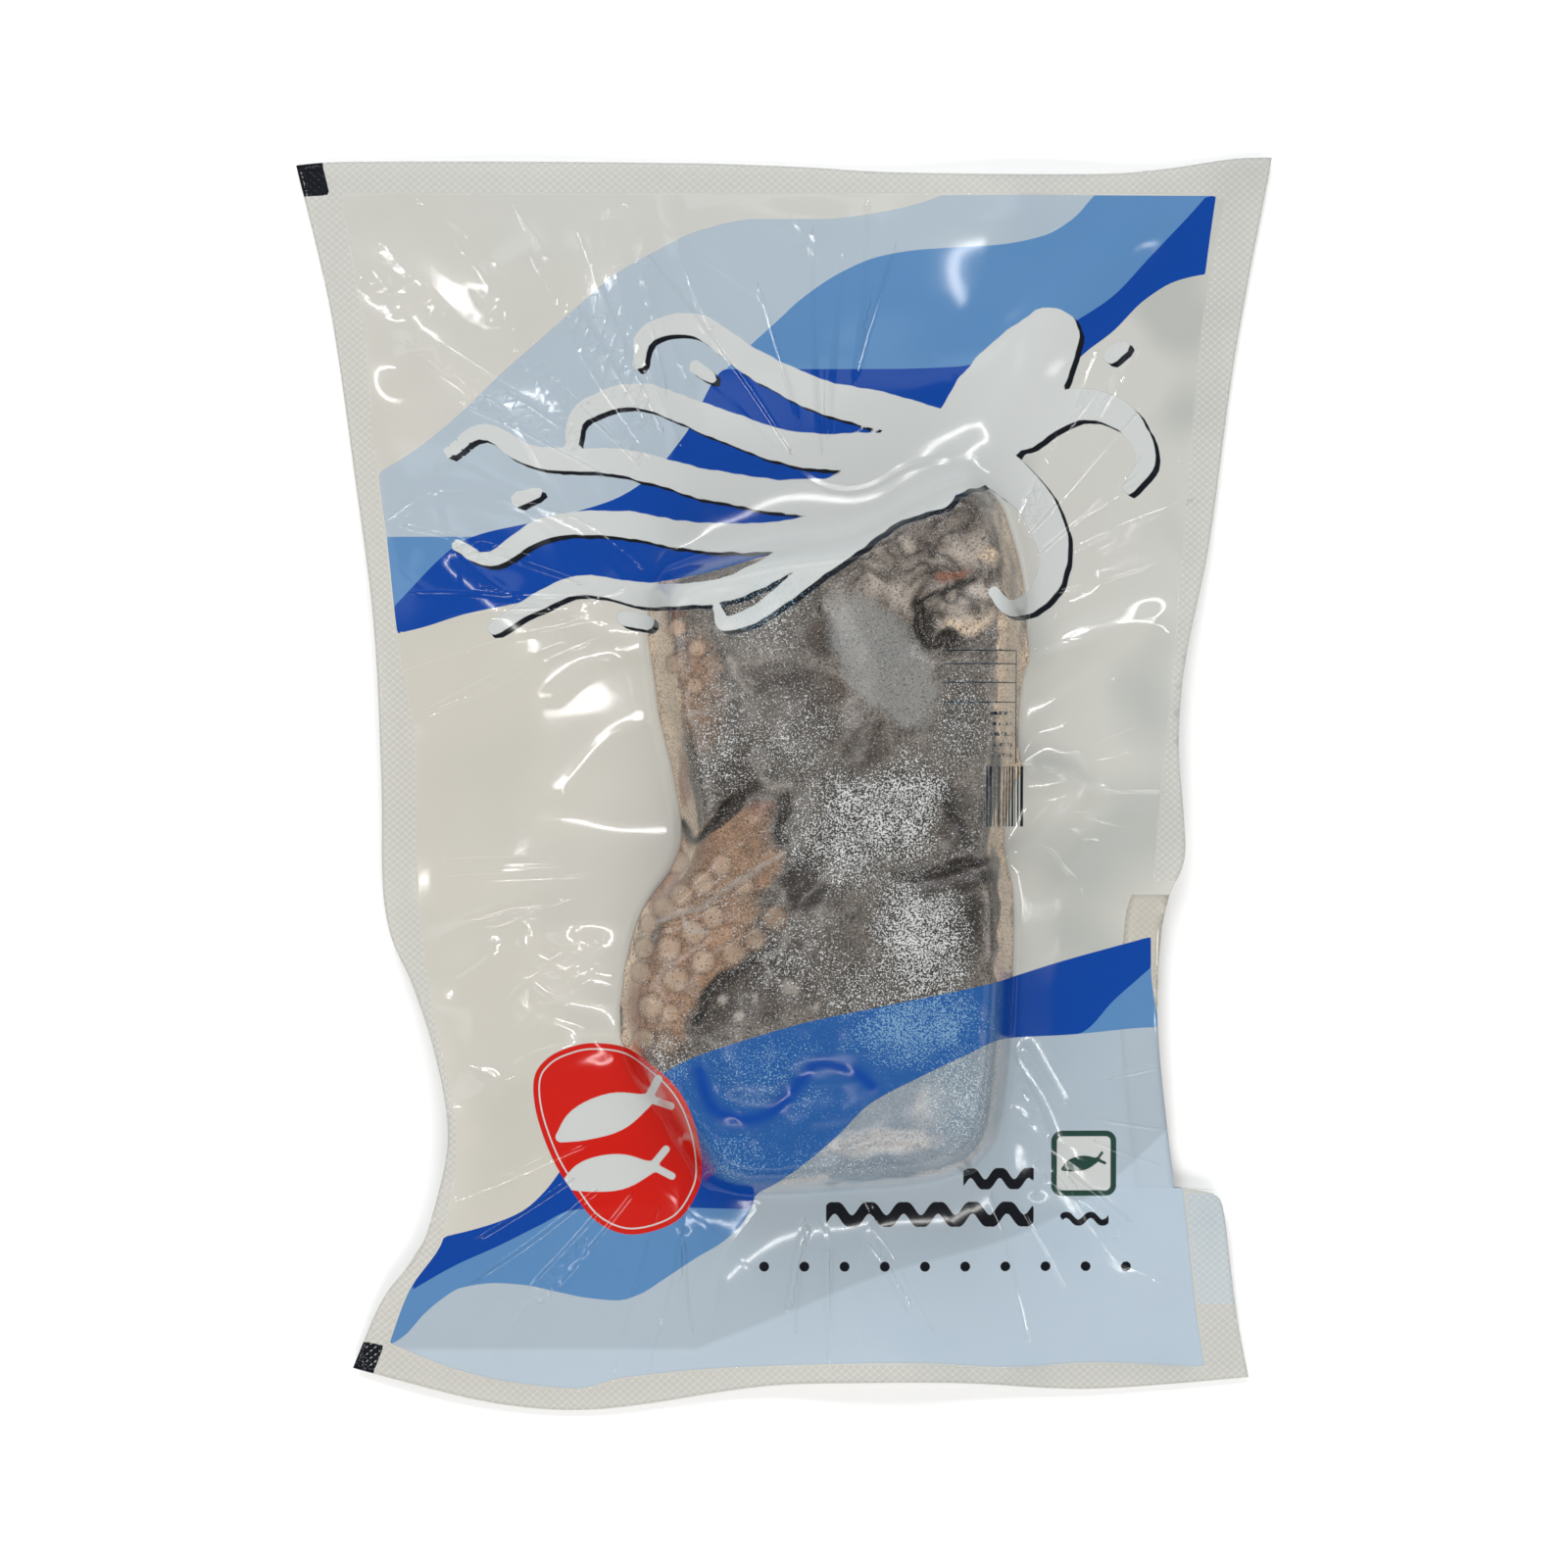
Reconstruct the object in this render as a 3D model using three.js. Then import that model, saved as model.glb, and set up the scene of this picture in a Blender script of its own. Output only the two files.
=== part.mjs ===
// Vacuum pouch with a frozen block of octopus inside, lying flat with its printed side up.
// Units are millimetres. +Z is up, +Y points to the pouch's top edge and +X to its right.
// The origin is under the middle of the pouch, on the surface that it lies on.
import * as THREE from "three";

// Driving dimensions.
const RIM_WIDTH = 8.7; // heat seal round the pouch
const FILM_THICKNESS = 1.0; // front and back film with the air between them
const BLOCK_HEIGHT = 27; // frozen block with the film drawn over it
const SEAM_HEIGHT = 11; // the two films part round the block at this height
const SHOULDER_RUN = 6; // from the seam line in to the block's flat top
const UNDERSIDE_RUN = 7; // from the seam line in to the block's flat underside
const DRAPE_LENGTH = 17; // the film sinks from the block to the rim over about this length
const RIM_REST_HEIGHT = 1.6; // top of the rim where it lies on the surface
const SHOULDER_ROUNDING = 0.8; // 1 is a quarter sine from the seam up to the flat top
const FOLD_WIDTH = 8.5; // seal folded under at the right edge
const FOLD_THICKNESS = 0.5; // what it adds below the film
const FOLD_SPAN = [-117, -26]; // stretch of y that it covers
const FOLD_FADE = 6; // half the length over which it starts and ends

// Edges of the pouch as it lies, each a smooth curve through these points.
const LEFT_EDGE = [ // [y, x]
  [-132.5, -97.8],
  [-115.5, -90.3],
  [-106.7, -83.0],
  [-97.8, -79.6],
  [-80.0, -75.9],
  [-62.0, -78.6],
  [-44.5, -84.4],
  [-35.5, -88.7],
  [-24.0, -90.8],
  [0.0, -91.1],
  [35.5, -92.8],
  [71.0, -97.4],
  [106.7, -102.6],
  [124.4, -106.6],
  [140.0, -110.6],
];
const RIGHT_EDGE = [ // [y, x] down to the top of the tab
  [-91.0, 88.4],
  [-80.0, 87.0],
  [-62.0, 85.0],
  [-48.0, 84.3],
  [-35.5, 85.2],
  [-26.7, 86.4],
  [-18.0, 90.5],
  [-9.0, 90.5],
  [9.0, 89.2],
  [26.7, 90.6],
  [53.3, 96.1],
  [97.8, 102.3],
  [142.0, 110.6],
];
const TAB_EDGE = [ // [y, x] from the bottom corner up to the tab's top edge
  [-134.4, 105.3],
  [-124.4, 103.2],
  [-106.7, 100.8],
  [-97.8, 99.8],
  [-91.0, 98.2],
];
const TAB_ROOT = [ // [y, x] where the tab leaves the folded edge
  [-134.4, 93.6],
  [-118.7, 91.2],
  [-97.3, 89.7],
  [-91.0, 88.4],
];
const TOP_EDGE = [ // [x, y]
  [-110.6, 140.2],
  [-102.3, 141.0],
  [-22.3, 140.7],
  [4.3, 139.8],
  [22.0, 138.7],
  [57.0, 138.0],
  [80.0, 138.5],
  [93.2, 140.4],
  [102.1, 141.8],
  [110.6, 142.0],
];
const BOTTOM_EDGE = [ // [x, y]
  [-97.8, -132.3],
  [-84.6, -135.8],
  [-66.8, -140.2],
  [-49.0, -142.0],
  [-35.0, -141.0],
  [-4.6, -136.4],
  [20.0, -135.5],
  [40.0, -135.6],
  [66.6, -137.1],
  [84.3, -136.2],
  [105.3, -134.4],
];

// Seam line round the frozen block, seen from above, [x, y], clockwise from the upper left.
const BLOCK_OUTLINE = [
  [-28.5, 45.0],
  [-8.0, 53.0],
  [15.5, 57.0],
  [30.0, 64.5],
  [41.0, 69.0],
  [49.0, 62.0],
  [54.3, 42.0],
  [53.2, 22.0],
  [52.0, 4.0],
  [48.8, -14.0],
  [51.5, -24.0],
  [51.5, -44.0],
  [50.0, -66.0],
  [46.0, -83.0],
  [34.0, -89.5],
  [14.0, -91.5],
  [-7.0, -92.5],
  [-17.0, -89.5],
  [-22.5, -81.5],
  [-28.0, -73.0],
  [-34.0, -64.0],
  [-36.5, -53.0],
  [-35.0, -39.0],
  [-31.0, -27.5],
  [-24.0, -18.0],
  [-22.5, -9.0],
  [-25.0, 5.0],
  [-28.5, 22.0],
];

// Broad rises of the film and the rim above the surface, and of the block above its mean top.
const FILM_LIFTS = [
  { name: "left waist", at: [-80, -72], rise: 9.5, radius: 32 },
  { name: "left side", at: [-92, 20], rise: 4.5, radius: 38 },
  { name: "right waist", at: [92, 5], rise: 6.5, radius: 36 },
  { name: "folded edge", at: [88, -58], rise: 5.5, radius: 28 },
  { name: "upper left wave", at: [-60, 118], rise: 2.8, radius: 22 },
  { name: "upper right wave", at: [55, 128], rise: 4.2, radius: 24 },
  { name: "lower wave", at: [25, -130], rise: 4.4, radius: 26 },
  { name: "lower left wave", at: [-78, -122], rise: 2.6, radius: 14 },
  { name: "tab", at: [100, -100], rise: 2.4, radius: 14 },
];
const BLOCK_SWELLS = [
  { name: "mantle", at: [22, 18], rise: 1.4, radius: 24 },
  { name: "upper fold", at: [42, 50], rise: -2.2, radius: 15 },
  { name: "arm tips", at: [-33, -45], rise: -4.5, radius: 14 },
  { name: "web", at: [-20, 30], rise: -1.6, radius: 16 },
  { name: "lower end", at: [12, -86], rise: -4.0, radius: 16 },
  { name: "right shoulder", at: [48, -52], rise: -1.2, radius: 16 },
];

// Furrows (negative) and ridges (positive) along the frozen flesh, seen from above.
const BLOCK_CREASES = [
  { name: "notch over the arms", height: -2.6, width: 3.4,
    path: [[-22.6, -9], [-18.5, -12.5], [-11, -4.5], [-5.5, 0]] },
  { name: "middle furrow", height: -1.8, width: 3.0,
    path: [[-7, 6], [1, -1], [-0.5, -14]] },
  { name: "mantle rim", height: -2.4, width: 3.2,
    path: [[24, -21], [33, -20], [47, -16.5]] },
  { name: "upper pleat", height: -2.6, width: 3.4,
    path: [[30.5, 41], [31, 33.5], [38, 30]] },
  { name: "upper pleat branch", height: -1.6, width: 3.2,
    path: [[30.5, 41], [44, 47]] },
  { name: "arms edge", height: -2.2, width: 3.2,
    path: [[4, -24], [0, -33], [-12, -41.5], [-19.5, -52]] },
  { name: "between the arms", height: -1.4, width: 3.2,
    path: [[-30, -33], [-12, -28], [-2, -21]] },
  { name: "upper arm", height: 1.3, width: 5.0,
    path: [[-25, -23], [-14, -17], [-6, -10]] },
  { name: "lower arm", height: 1.5, width: 5.0,
    path: [[-31, -48], [-18, -36], [-4, -28]] },
  { name: "lower channel", height: -2.0, width: 3.4,
    path: [[-19.5, -61], [-13.5, -73], [-3, -74], [5.5, -67], [13, -66]] },
  { name: "curled tip", height: 1.6, width: 3.2,
    path: [[14, -83], [22, -80], [31, -81], [38, -84.5]] },
  { name: "back seam", height: -1.0, width: 3.2,
    path: [[8, 42], [14, 28], [12, 14], [16, 2]] },
];

// Low folds that the drawn film makes between the block and the rim.
const FILM_FOLDS = [
  { name: "upper left pleat", height: 1.2, width: 4.5, path: [[-34, 50], [-60, 95], [-84, 128]] },
  { name: "upper pleat", height: 1.4, width: 5.0, path: [[-22, 60], [-34, 100], [-38, 124]] },
  { name: "upper right pleat", height: 1.2, width: 5.0, path: [[46, 76], [60, 104], [80, 124]] },
  { name: "right pleat", height: 1.8, width: 4.5, path: [[58, 28], [70, 34], [84, 37]] },
  { name: "right hook", height: 2.4, width: 4.5, path: [[57, -16], [66, -1], [58, 4]] },
  { name: "lower right pleat", height: 1.5, width: 4.5, path: [[54, -78], [66, -92], [82, -112]] },
  { name: "lower pleat", height: 1.3, width: 4.5, path: [[-10, -98], [-18, -112], [-22, -124]] },
  { name: "lower left pleat", height: 1.4, width: 4.5, path: [[-42, -58], [-58, -62], [-70, -74]] },
  { name: "left pleat", height: 1.3, width: 4.5, path: [[-42, -30], [-58, -34], [-76, -44]] },
  { name: "left upper pleat", height: 1.2, width: 4.5, path: [[-36, 34], [-56, 42], [-80, 62]] },
];

// Grid of the upper film, whose lines follow the seam round the block. The lower film has
// every second line.
const TAB_STEP = -91.2; // the right edge jumps out to the tab here
const TAB_STEP_GAP = 0.8;
const BLOCK_FOOT_GAP = 3;
const COLUMN_BANDS = [2, 8, 3, 26, 3, 8, 2]; // rim, film, shoulder, block, shoulder, film, rim
const ROW_BANDS = [2, 8, 2, 3, 46, 3, 14, 2]; // rim, film, foot, shoulder, block, shoulder, film, rim
const STITCH = 2; // upper lines to each lower line
const SETTLING_PASSES = 12;
const LEFT_SIDE = [-78, 42]; // stretch of y in which the seam is the block's left side
const RIGHT_SIDE = [-80, 60];
const LOWER_END = [-14, 40]; // stretch of x in which it is the block's lower end
const UPPER_END = [-24, 46];
const FOOT_BLEND = [50, 66]; // from the block's foot out to the level of the tab step

// Value of the smooth curve through points [position, value] at a position.
function curveAt(points, position) {
  const last = points.length - 1;
  const clamped = THREE.MathUtils.clamp(position, points[0][0], points[last][0]);
  let k = 0;
  while (k < last - 1 && clamped > points[k + 1][0]) {
    k += 1;
  }
  const slope = (a, b) => (points[b][1] - points[a][1]) / (points[b][0] - points[a][0]);
  const slopeAt = (i) => slope(Math.max(i - 1, 0), Math.min(i + 1, last));
  const span = points[k + 1][0] - points[k][0];
  const t = (clamped - points[k][0]) / span;
  const rise = points[k + 1][1] - points[k][1];
  const startBend = slopeAt(k) * span - rise;
  const endBend = rise - slopeAt(k + 1) * span;
  return points[k][1] + rise * t + t * (1 - t) * (startBend * (1 - t) + endBend * t);
}

// Shortest distance from (x, y) to the line between two points.
function distanceToLine(x, y, [ax, ay], [bx, by]) {
  const dx = bx - ax;
  const dy = by - ay;
  const along = ((x - ax) * dx + (y - ay) * dy) / (dx * dx + dy * dy);
  const t = THREE.MathUtils.clamp(along, 0, 1);
  return Math.hypot(x - ax - dx * t, y - ay - dy * t);
}

function distanceToPath(x, y, path) {
  const steps = path.slice(1).map((point, i) => distanceToLine(x, y, path[i], point));
  return Math.min(...steps);
}

// The seam line as a fine closed polygon.
const seamCurve = new THREE.CatmullRomCurve3(
  BLOCK_OUTLINE.map(([x, y]) => new THREE.Vector3(x, y, 0)),
  true,
  "catmullrom",
  0.5,
);
const SEAM_STEPS = 5 * BLOCK_OUTLINE.length;
const seam = seamCurve.getPoints(SEAM_STEPS).map((point) => [point.x, point.y]);

// Distance inside the seam line, negative outside it.
function depthInside(x, y) {
  let inside = false;
  for (let i = 0; i < SEAM_STEPS; i += 1) {
    const [ax, ay] = seam[i];
    const [bx, by] = seam[i + 1];
    if (ay > y !== by > y && x < ax + ((y - ay) / (by - ay)) * (bx - ax)) {
      inside = !inside;
    }
  }
  const distance = distanceToPath(x, y, seam);
  return inside ? distance : -distance;
}

const bell = (distance, width) => Math.exp(-((distance / width) ** 2));
const sum = (values) => values.reduce((total, value) => total + value, 0);
const swells = (x, y, list) =>
  sum(list.map(({ at, rise, radius }) => rise * bell(Math.hypot(x - at[0], y - at[1]), radius)));
const creases = (x, y, list) =>
  sum(list.map(({ path, height, width }) => height * bell(distanceToPath(x, y, path), width)));

// Height of the flat film's upper side, from the seam round the block out to the rim.
function sheetHeight(x, y, depth) {
  const resting = RIM_REST_HEIGHT + swells(x, y, FILM_LIFTS);
  const drape = Math.exp(Math.min(depth, 0) / DRAPE_LENGTH);
  return resting + (SEAM_HEIGHT - resting) * drape;
}

function upperHeight(x, y) {
  const depth = depthInside(x, y);
  const sheet = sheetHeight(x, y, depth);
  const shoulder = THREE.MathUtils.clamp(depth / SHOULDER_RUN, 0, 1);
  const cover = Math.sin((shoulder * Math.PI) / 2) ** SHOULDER_ROUNDING;
  const flesh = BLOCK_HEIGHT + swells(x, y, BLOCK_SWELLS) + creases(x, y, BLOCK_CREASES);
  const folds = creases(x, y, FILM_FOLDS) * (1 - cover);
  return sheet + (flesh - sheet) * cover + folds;
}

const foldLine = (y) => (y > TAB_STEP ? curveAt(RIGHT_EDGE, y) : curveAt(TAB_ROOT, y));
const rightEdge = (y) => (y > TAB_STEP - TAB_STEP_GAP / 2 ? curveAt(RIGHT_EDGE, y) : curveAt(TAB_EDGE, y));

// How far the seal is folded under the film: 1 is fully, 0 not at all.
function foldedUnder(x, y) {
  const { smoothstep } = THREE.MathUtils;
  const across = smoothstep(x, foldLine(y) - 2 * FOLD_WIDTH, foldLine(y) - FOLD_WIDTH);
  const start = smoothstep(y, FOLD_SPAN[0] - FOLD_FADE, FOLD_SPAN[0] + FOLD_FADE);
  const end = 1 - smoothstep(y, FOLD_SPAN[1] - FOLD_FADE, FOLD_SPAN[1] + FOLD_FADE);
  return across * start * end;
}

// The films' lower side: flat under the block, and thicker where the seal is folded under.
function lowerHeight(x, y) {
  const depth = depthInside(x, y);
  const underside = THREE.MathUtils.clamp(depth / UNDERSIDE_RUN, 0, 1);
  const thickness = FILM_THICKNESS + FOLD_THICKNESS * foldedUnder(x, y);
  const hanging = sheetHeight(x, y, depth) - thickness;
  return Math.max(hanging * (1 - Math.sin((underside * Math.PI) / 2)), 0);
}

// Where the seam crosses the line on which coordinate `axis` has this value, lowest first.
function seamCrossings(axis, value) {
  const found = [];
  for (let i = 0; i < SEAM_STEPS; i += 1) {
    const from = seam[i];
    const to = seam[i + 1];
    if (from[axis] > value !== to[axis] > value) {
      const t = (value - from[axis]) / (to[axis] - from[axis]);
      found.push(THREE.MathUtils.lerp(from[1 - axis], to[1 - axis], t));
    }
  }
  return found.sort((a, b) => a - b);
}

const seamLeft = (y) => seamCrossings(1, THREE.MathUtils.clamp(y, ...LEFT_SIDE)).at(0);
const seamRight = (y) => seamCrossings(1, THREE.MathUtils.clamp(y, ...RIGHT_SIDE)).at(-1);
const seamBottom = (x) => seamCrossings(0, THREE.MathUtils.clamp(x, ...LOWER_END)).at(0);
const seamTop = (x) => seamCrossings(0, THREE.MathUtils.clamp(x, ...UPPER_END)).at(-1);

// Grid lines: bands between knots, each split into equal cells.
function lineAt(knots, bands, index) {
  let first = 0;
  for (let band = 0; band < bands.length; band += 1) {
    if (index <= first + bands[band]) {
      return THREE.MathUtils.lerp(knots[band], knots[band + 1], (index - first) / bands[band]);
    }
    first += bands[band];
  }
  return knots[knots.length - 1];
}

function rowKnots(x) {
  const bottom = curveAt(BOTTOM_EDGE, x);
  const top = curveAt(TOP_EDGE, x);
  const outward = THREE.MathUtils.smoothstep(x, ...FOOT_BLEND);
  const foot = THREE.MathUtils.lerp(seamBottom(x), TAB_STEP, outward);
  const gap = THREE.MathUtils.lerp(BLOCK_FOOT_GAP, TAB_STEP_GAP, outward);
  return [bottom, bottom + RIM_WIDTH, foot - gap, foot, foot + SHOULDER_RUN,
    seamTop(x) - SHOULDER_RUN, seamTop(x), top - RIM_WIDTH, top];
}

function columnKnots(y) {
  const left = curveAt(LEFT_EDGE, y);
  const right = rightEdge(y);
  return [left, left + RIM_WIDTH, seamLeft(y), seamLeft(y) + SHOULDER_RUN,
    seamRight(y) - SHOULDER_RUN, seamRight(y), right - RIM_WIDTH, right];
}

function gridPoint(column, row) {
  let x = 0;
  let y = 0;
  for (let pass = 0; pass < SETTLING_PASSES; pass += 1) {
    y = lineAt(rowKnots(x), ROW_BANDS, row);
    x = lineAt(columnKnots(y), COLUMN_BANDS, column);
  }
  return [x, y];
}

// One closed skin: the upper film, the lower film on a coarser grid, and the edge between them.
function pouchGeometry() {
  const columns = sum(COLUMN_BANDS);
  const rows = sum(ROW_BANDS);
  const positions = [];
  const triangles = [];

  function sheet(step, height) {
    const across = columns / step;
    const first = positions.length / 3;
    for (let row = 0; row <= rows; row += step) {
      for (let column = 0; column <= columns; column += step) {
        const [x, y] = gridPoint(column, row);
        positions.push(x, y, height(x, y));
      }
    }
    return (column, row) => first + (row / step) * (across + 1) + column / step;
  }

  const upper = sheet(1, upperHeight);
  const lower = sheet(STITCH, lowerHeight);

  function cells(step, vertex, facesUp) {
    for (let row = 0; row < rows; row += step) {
      for (let column = 0; column < columns; column += step) {
        const a = vertex(column, row);
        const b = vertex(column + step, row);
        const c = vertex(column + step, row + step);
        const d = vertex(column, row + step);
        if (facesUp) {
          triangles.push(a, b, c, a, c, d);
        } else {
          triangles.push(a, c, b, a, d, c);
        }
      }
    }
  }

  // Edge from one lower point to the next, under three upper points.
  function edge(from, to) {
    const between = [(from[0] + to[0]) / 2, (from[1] + to[1]) / 2];
    const low = [lower(...from), lower(...to)];
    const high = [upper(...from), upper(...between), upper(...to)];
    triangles.push(low[0], high[1], high[0]);
    triangles.push(low[0], low[1], high[1]);
    triangles.push(low[1], high[2], high[1]);
  }

  cells(1, upper, true);
  cells(STITCH, lower, false);
  for (let column = 0; column < columns; column += STITCH) {
    edge([column, 0], [column + STITCH, 0]);
    edge([column + STITCH, rows], [column, rows]);
  }
  for (let row = 0; row < rows; row += STITCH) {
    edge([columns, row], [columns, row + STITCH]);
    edge([0, row + STITCH], [0, row]);
  }

  const geometry = new THREE.BufferGeometry();
  geometry.setAttribute("position", new THREE.Float32BufferAttribute(positions, 3));
  geometry.setIndex(triangles);
  geometry.computeVertexNormals();
  return geometry;
}

const filmMaterial = new THREE.MeshStandardMaterial({
  color: 0xcfcabd,
  roughness: 0.3,
  metalness: 0,
});

const pouch = new THREE.Mesh(pouchGeometry(), filmMaterial);
pouch.name = "vacuum_pouch";

const pack = new THREE.Group();
pack.add(pouch);

export default pack;
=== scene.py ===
import math
import random

import bmesh
import bpy
import numpy as np
from bpy.props import FloatProperty, FloatVectorProperty, IntProperty, PointerProperty
from mathutils import Matrix, Vector, noise
from mathutils.bvhtree import BVHTree
from mathutils.kdtree import KDTree


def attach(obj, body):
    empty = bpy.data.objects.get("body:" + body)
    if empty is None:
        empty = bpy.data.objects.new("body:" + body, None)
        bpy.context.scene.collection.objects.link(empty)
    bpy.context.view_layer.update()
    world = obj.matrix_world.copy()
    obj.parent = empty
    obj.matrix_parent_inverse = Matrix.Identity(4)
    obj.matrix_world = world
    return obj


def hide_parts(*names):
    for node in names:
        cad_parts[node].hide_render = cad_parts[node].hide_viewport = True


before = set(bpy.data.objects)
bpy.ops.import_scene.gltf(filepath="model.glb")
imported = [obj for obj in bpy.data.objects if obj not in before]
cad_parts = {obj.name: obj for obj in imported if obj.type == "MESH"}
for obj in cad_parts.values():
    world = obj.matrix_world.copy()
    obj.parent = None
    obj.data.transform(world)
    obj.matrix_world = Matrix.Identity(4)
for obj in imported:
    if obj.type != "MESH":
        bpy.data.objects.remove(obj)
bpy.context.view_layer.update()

bl_info = {
    "name": "Frozen Octopus Pack",
    "version": (1, 0, 0),
    "blender": (4, 5, 0),
    "location": "View3D > Sidebar > Octopus Pack",
    "description": "Dresses a printed vacuum pouch with a frozen block of octopus in it",
    "category": "Add Mesh",
}

POUCH_NODE = "vacuum_pouch"
BODY = "root"

# Places on the pack are in millimetres, seen from above: x to the right of the print, y to its top.
MM = 0.001
FRAME_PIXELS, PIXELS_PER_MM = 1600, 4.5
SEAM_HEIGHT = 11.0  # the two films part round the block at this height
BLOCK_HEIGHT = 27.0
BLOCK_LOW, BLOCK_HIGH, BLOCK_CENTRE = (-40, -96), (58, 73), (10, -15)
# Rings that close the block below the seam: how much each is drawn in, and its height.
BLOCK_FOOT = [(0.028, 7.6), (0.052, 3.8), (0.052, 1.5), (0.052, 0.45)]
BLOCK_TOP_FROM = 17.0  # from this height up the film touches the flesh and frost lies on it
RIM_WIDTH = 8.6
FOLD_WIDTH = 8.8
FOLD_SPAN = (-91.5, -25)
FOLD_FROM = 60  # right of this x
FOLD_TOP = -22  # no seal shows from here down to the flap
PRINT_TOP = 133.3
FOLD_DROP = 0.12  # how far the folded seal lies under the back film
FOLD_LOWEST = 0.02
HATCH_PITCH = 1.6
HATCH_SLOPE = 0.86
BASE_FROST = 0.16  # thinnest frost between film and flesh
SIDE_SKIN_TOP = 22.5  # pale skin covers the block's side up to this height
FREE_FILM_TOP = 12.0  # above this height the film lies closer and crinkles less
FLOOR_DROP = 0.4

# Upper edges and lower edges of the printed waves, (x, y). Two of each pair run together for a while.
UPPER_RISE = [(-56, 59.5), (-39.5, 64), (-31, 69), (-22.5, 79), (-13, 94)]
LOWER_RISE = [
    (-7.5, -96), (-6.5, -93), (-2, -90), (5, -85), (12, -79), (19, -72), (30, -66), (40.5, -61),
    (49, -57.5), (66.5, -56.5),
]
UPPER_PALE_EDGE = [
    (-92, 70.5), (-84.5, 75), (-75, 82.5), (-64, 93), (-56, 100), (-47.5, 107.5), (-38, 115.5),
    (-28.5, 121), (-19, 125.5), (-6.5, 128), (8.5, 128), (21.5, 129.5), (30.5, 131.5), (42, 136),
]
UPPER_MID_EDGE = [
    (-92, 56), (-71, 56), *UPPER_RISE, (-7.5, 99.5), (-2, 104.5), (4, 110), (13, 116), (21.5, 119.5),
    (30.5, 121), (48, 122), (58.5, 124), (65.5, 128), (70, 133), (76, 139),
]
UPPER_DEEP_EDGE = [
    (-91, 37.5), (-71, 55.8), *UPPER_RISE, (8.5, 94), (23.5, 94), (39, 94.5), (48, 96.5), (57, 99.5),
    (65.5, 104.5), (74.5, 110.5), (83, 119.5), (92, 129), (96, 133.5), (100, 138),
]
UPPER_WAVE_FOOT = [
    (-92, 32.5), (-87.5, 34), (-81.5, 35.5), (-72, 38.5), (-57.5, 41.5), (-51.5, 43), (-22, 46.5),
    (-5, 51), (15.5, 56), (30.5, 62), (42, 71), (53, 82), (65.5, 95), (68, 97.5), (74.5, 102.5),
    (81.5, 109.5), (89, 114), (95.5, 115.5), (100, 116),
]
LOWER_DEEP_EDGE = [
    (-84, -105), (-77, -102.5), (-71, -101), (-64.5, -99), (-59, -96.5), (-54, -92), (-48, -84),
    (-37, -72.5), (-26.5, -64.5), (-20.5, -61.5), (-10.5, -58), (5, -53.5), (26.5, -49),
    (49, -44.2), (63, -40), (83, -34.5), (90, -32.5),
]
LOWER_DEEP_FOOT = [
    (-92, -119), (-85, -115), (-74.5, -109), (-64.5, -104.5), (-55.5, -100), (-48, -96.5),
    (-34.5, -95.5), (-21, -95.8), *LOWER_RISE, (68.5, -55.5), (74.5, -49), (79, -45), (83, -41.5),
    (90, -36),
]
LOWER_MID_FOOT = [
    (-92, -128.5), (-86, -125), (-81.5, -120), (-78, -117), (-73, -114), (-65.5, -113),
    (-58.5, -113.5), (-51.5, -115), (-44, -116.5), (-37.5, -117), (-32.5, -115.5), (-27, -112),
    (-19.5, -107), (-14.5, -104), (-10, -100), *LOWER_RISE, (84.5, -55), (90, -55),
]
LOWER_LIGHT_EDGE = [(-20, -128), (0, -120), (22, -111), (53, -102), (75, -89), (87, -78), (92, -74)]
PRINT_FOOT = [
    (-92, -125.5), (-88.5, -127), (-74.5, -132.5), (-62, -135.5), (-47, -137), (-36.5, -134.5),
    (-9, -132), (29, -131), (51, -132), (70.5, -131), (93, -132),
]
# Sides of the printed field, (y, x).
PRINT_LEFT = [
    (-127, -89.5), (-115, -85), (-102.5, -77), (-80, -73.5), (-53.5, -78.5), (-22, -82.5),
    (9, -83), (34, -87.5), (56, -90), (71, -92), (100, -94.5), (133, -100),
]
PRINT_RIGHT = [
    (-132, 95.3), (-118.5, 93.3), (-97.5, 91), (-78, 88.2), (-55, 84.8), (-41.5, 83), (-34.5, 83),
    (30, 88), (115.5, 95.5), (134, 98),
]

# Red stamp, (x, y), clockwise from its top.
STAMP_OUTLINE = [
    (-43, -58.5), (-35.5, -59.5), (-29, -63.5), (-23.5, -69), (-20, -76.5), (-18.5, -85.5),
    (-19.5, -92), (-24.5, -99), (-34.5, -102), (-42.5, -99), (-48, -92), (-52.5, -84.5),
    (-56, -74.5), (-56.5, -66.5), (-53.5, -62), (-48.5, -59.5),
]
STAMP_RING_INSET = 1.35
STAMP_RING_WIDTH = 0.34

# Black print marks at the left corners, (x, y).
CORNER_MARKS = [
    [(-114, 144), (-104.6, 144), (-104.5, 140), (-102.9, 133.4), (-109.2, 133.1), (-114, 134)],
    [(-95.2, -126.2), (-90.6, -127.2), (-93, -133.4), (-94, -137), (-101, -134), (-97, -129)],
]

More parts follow.
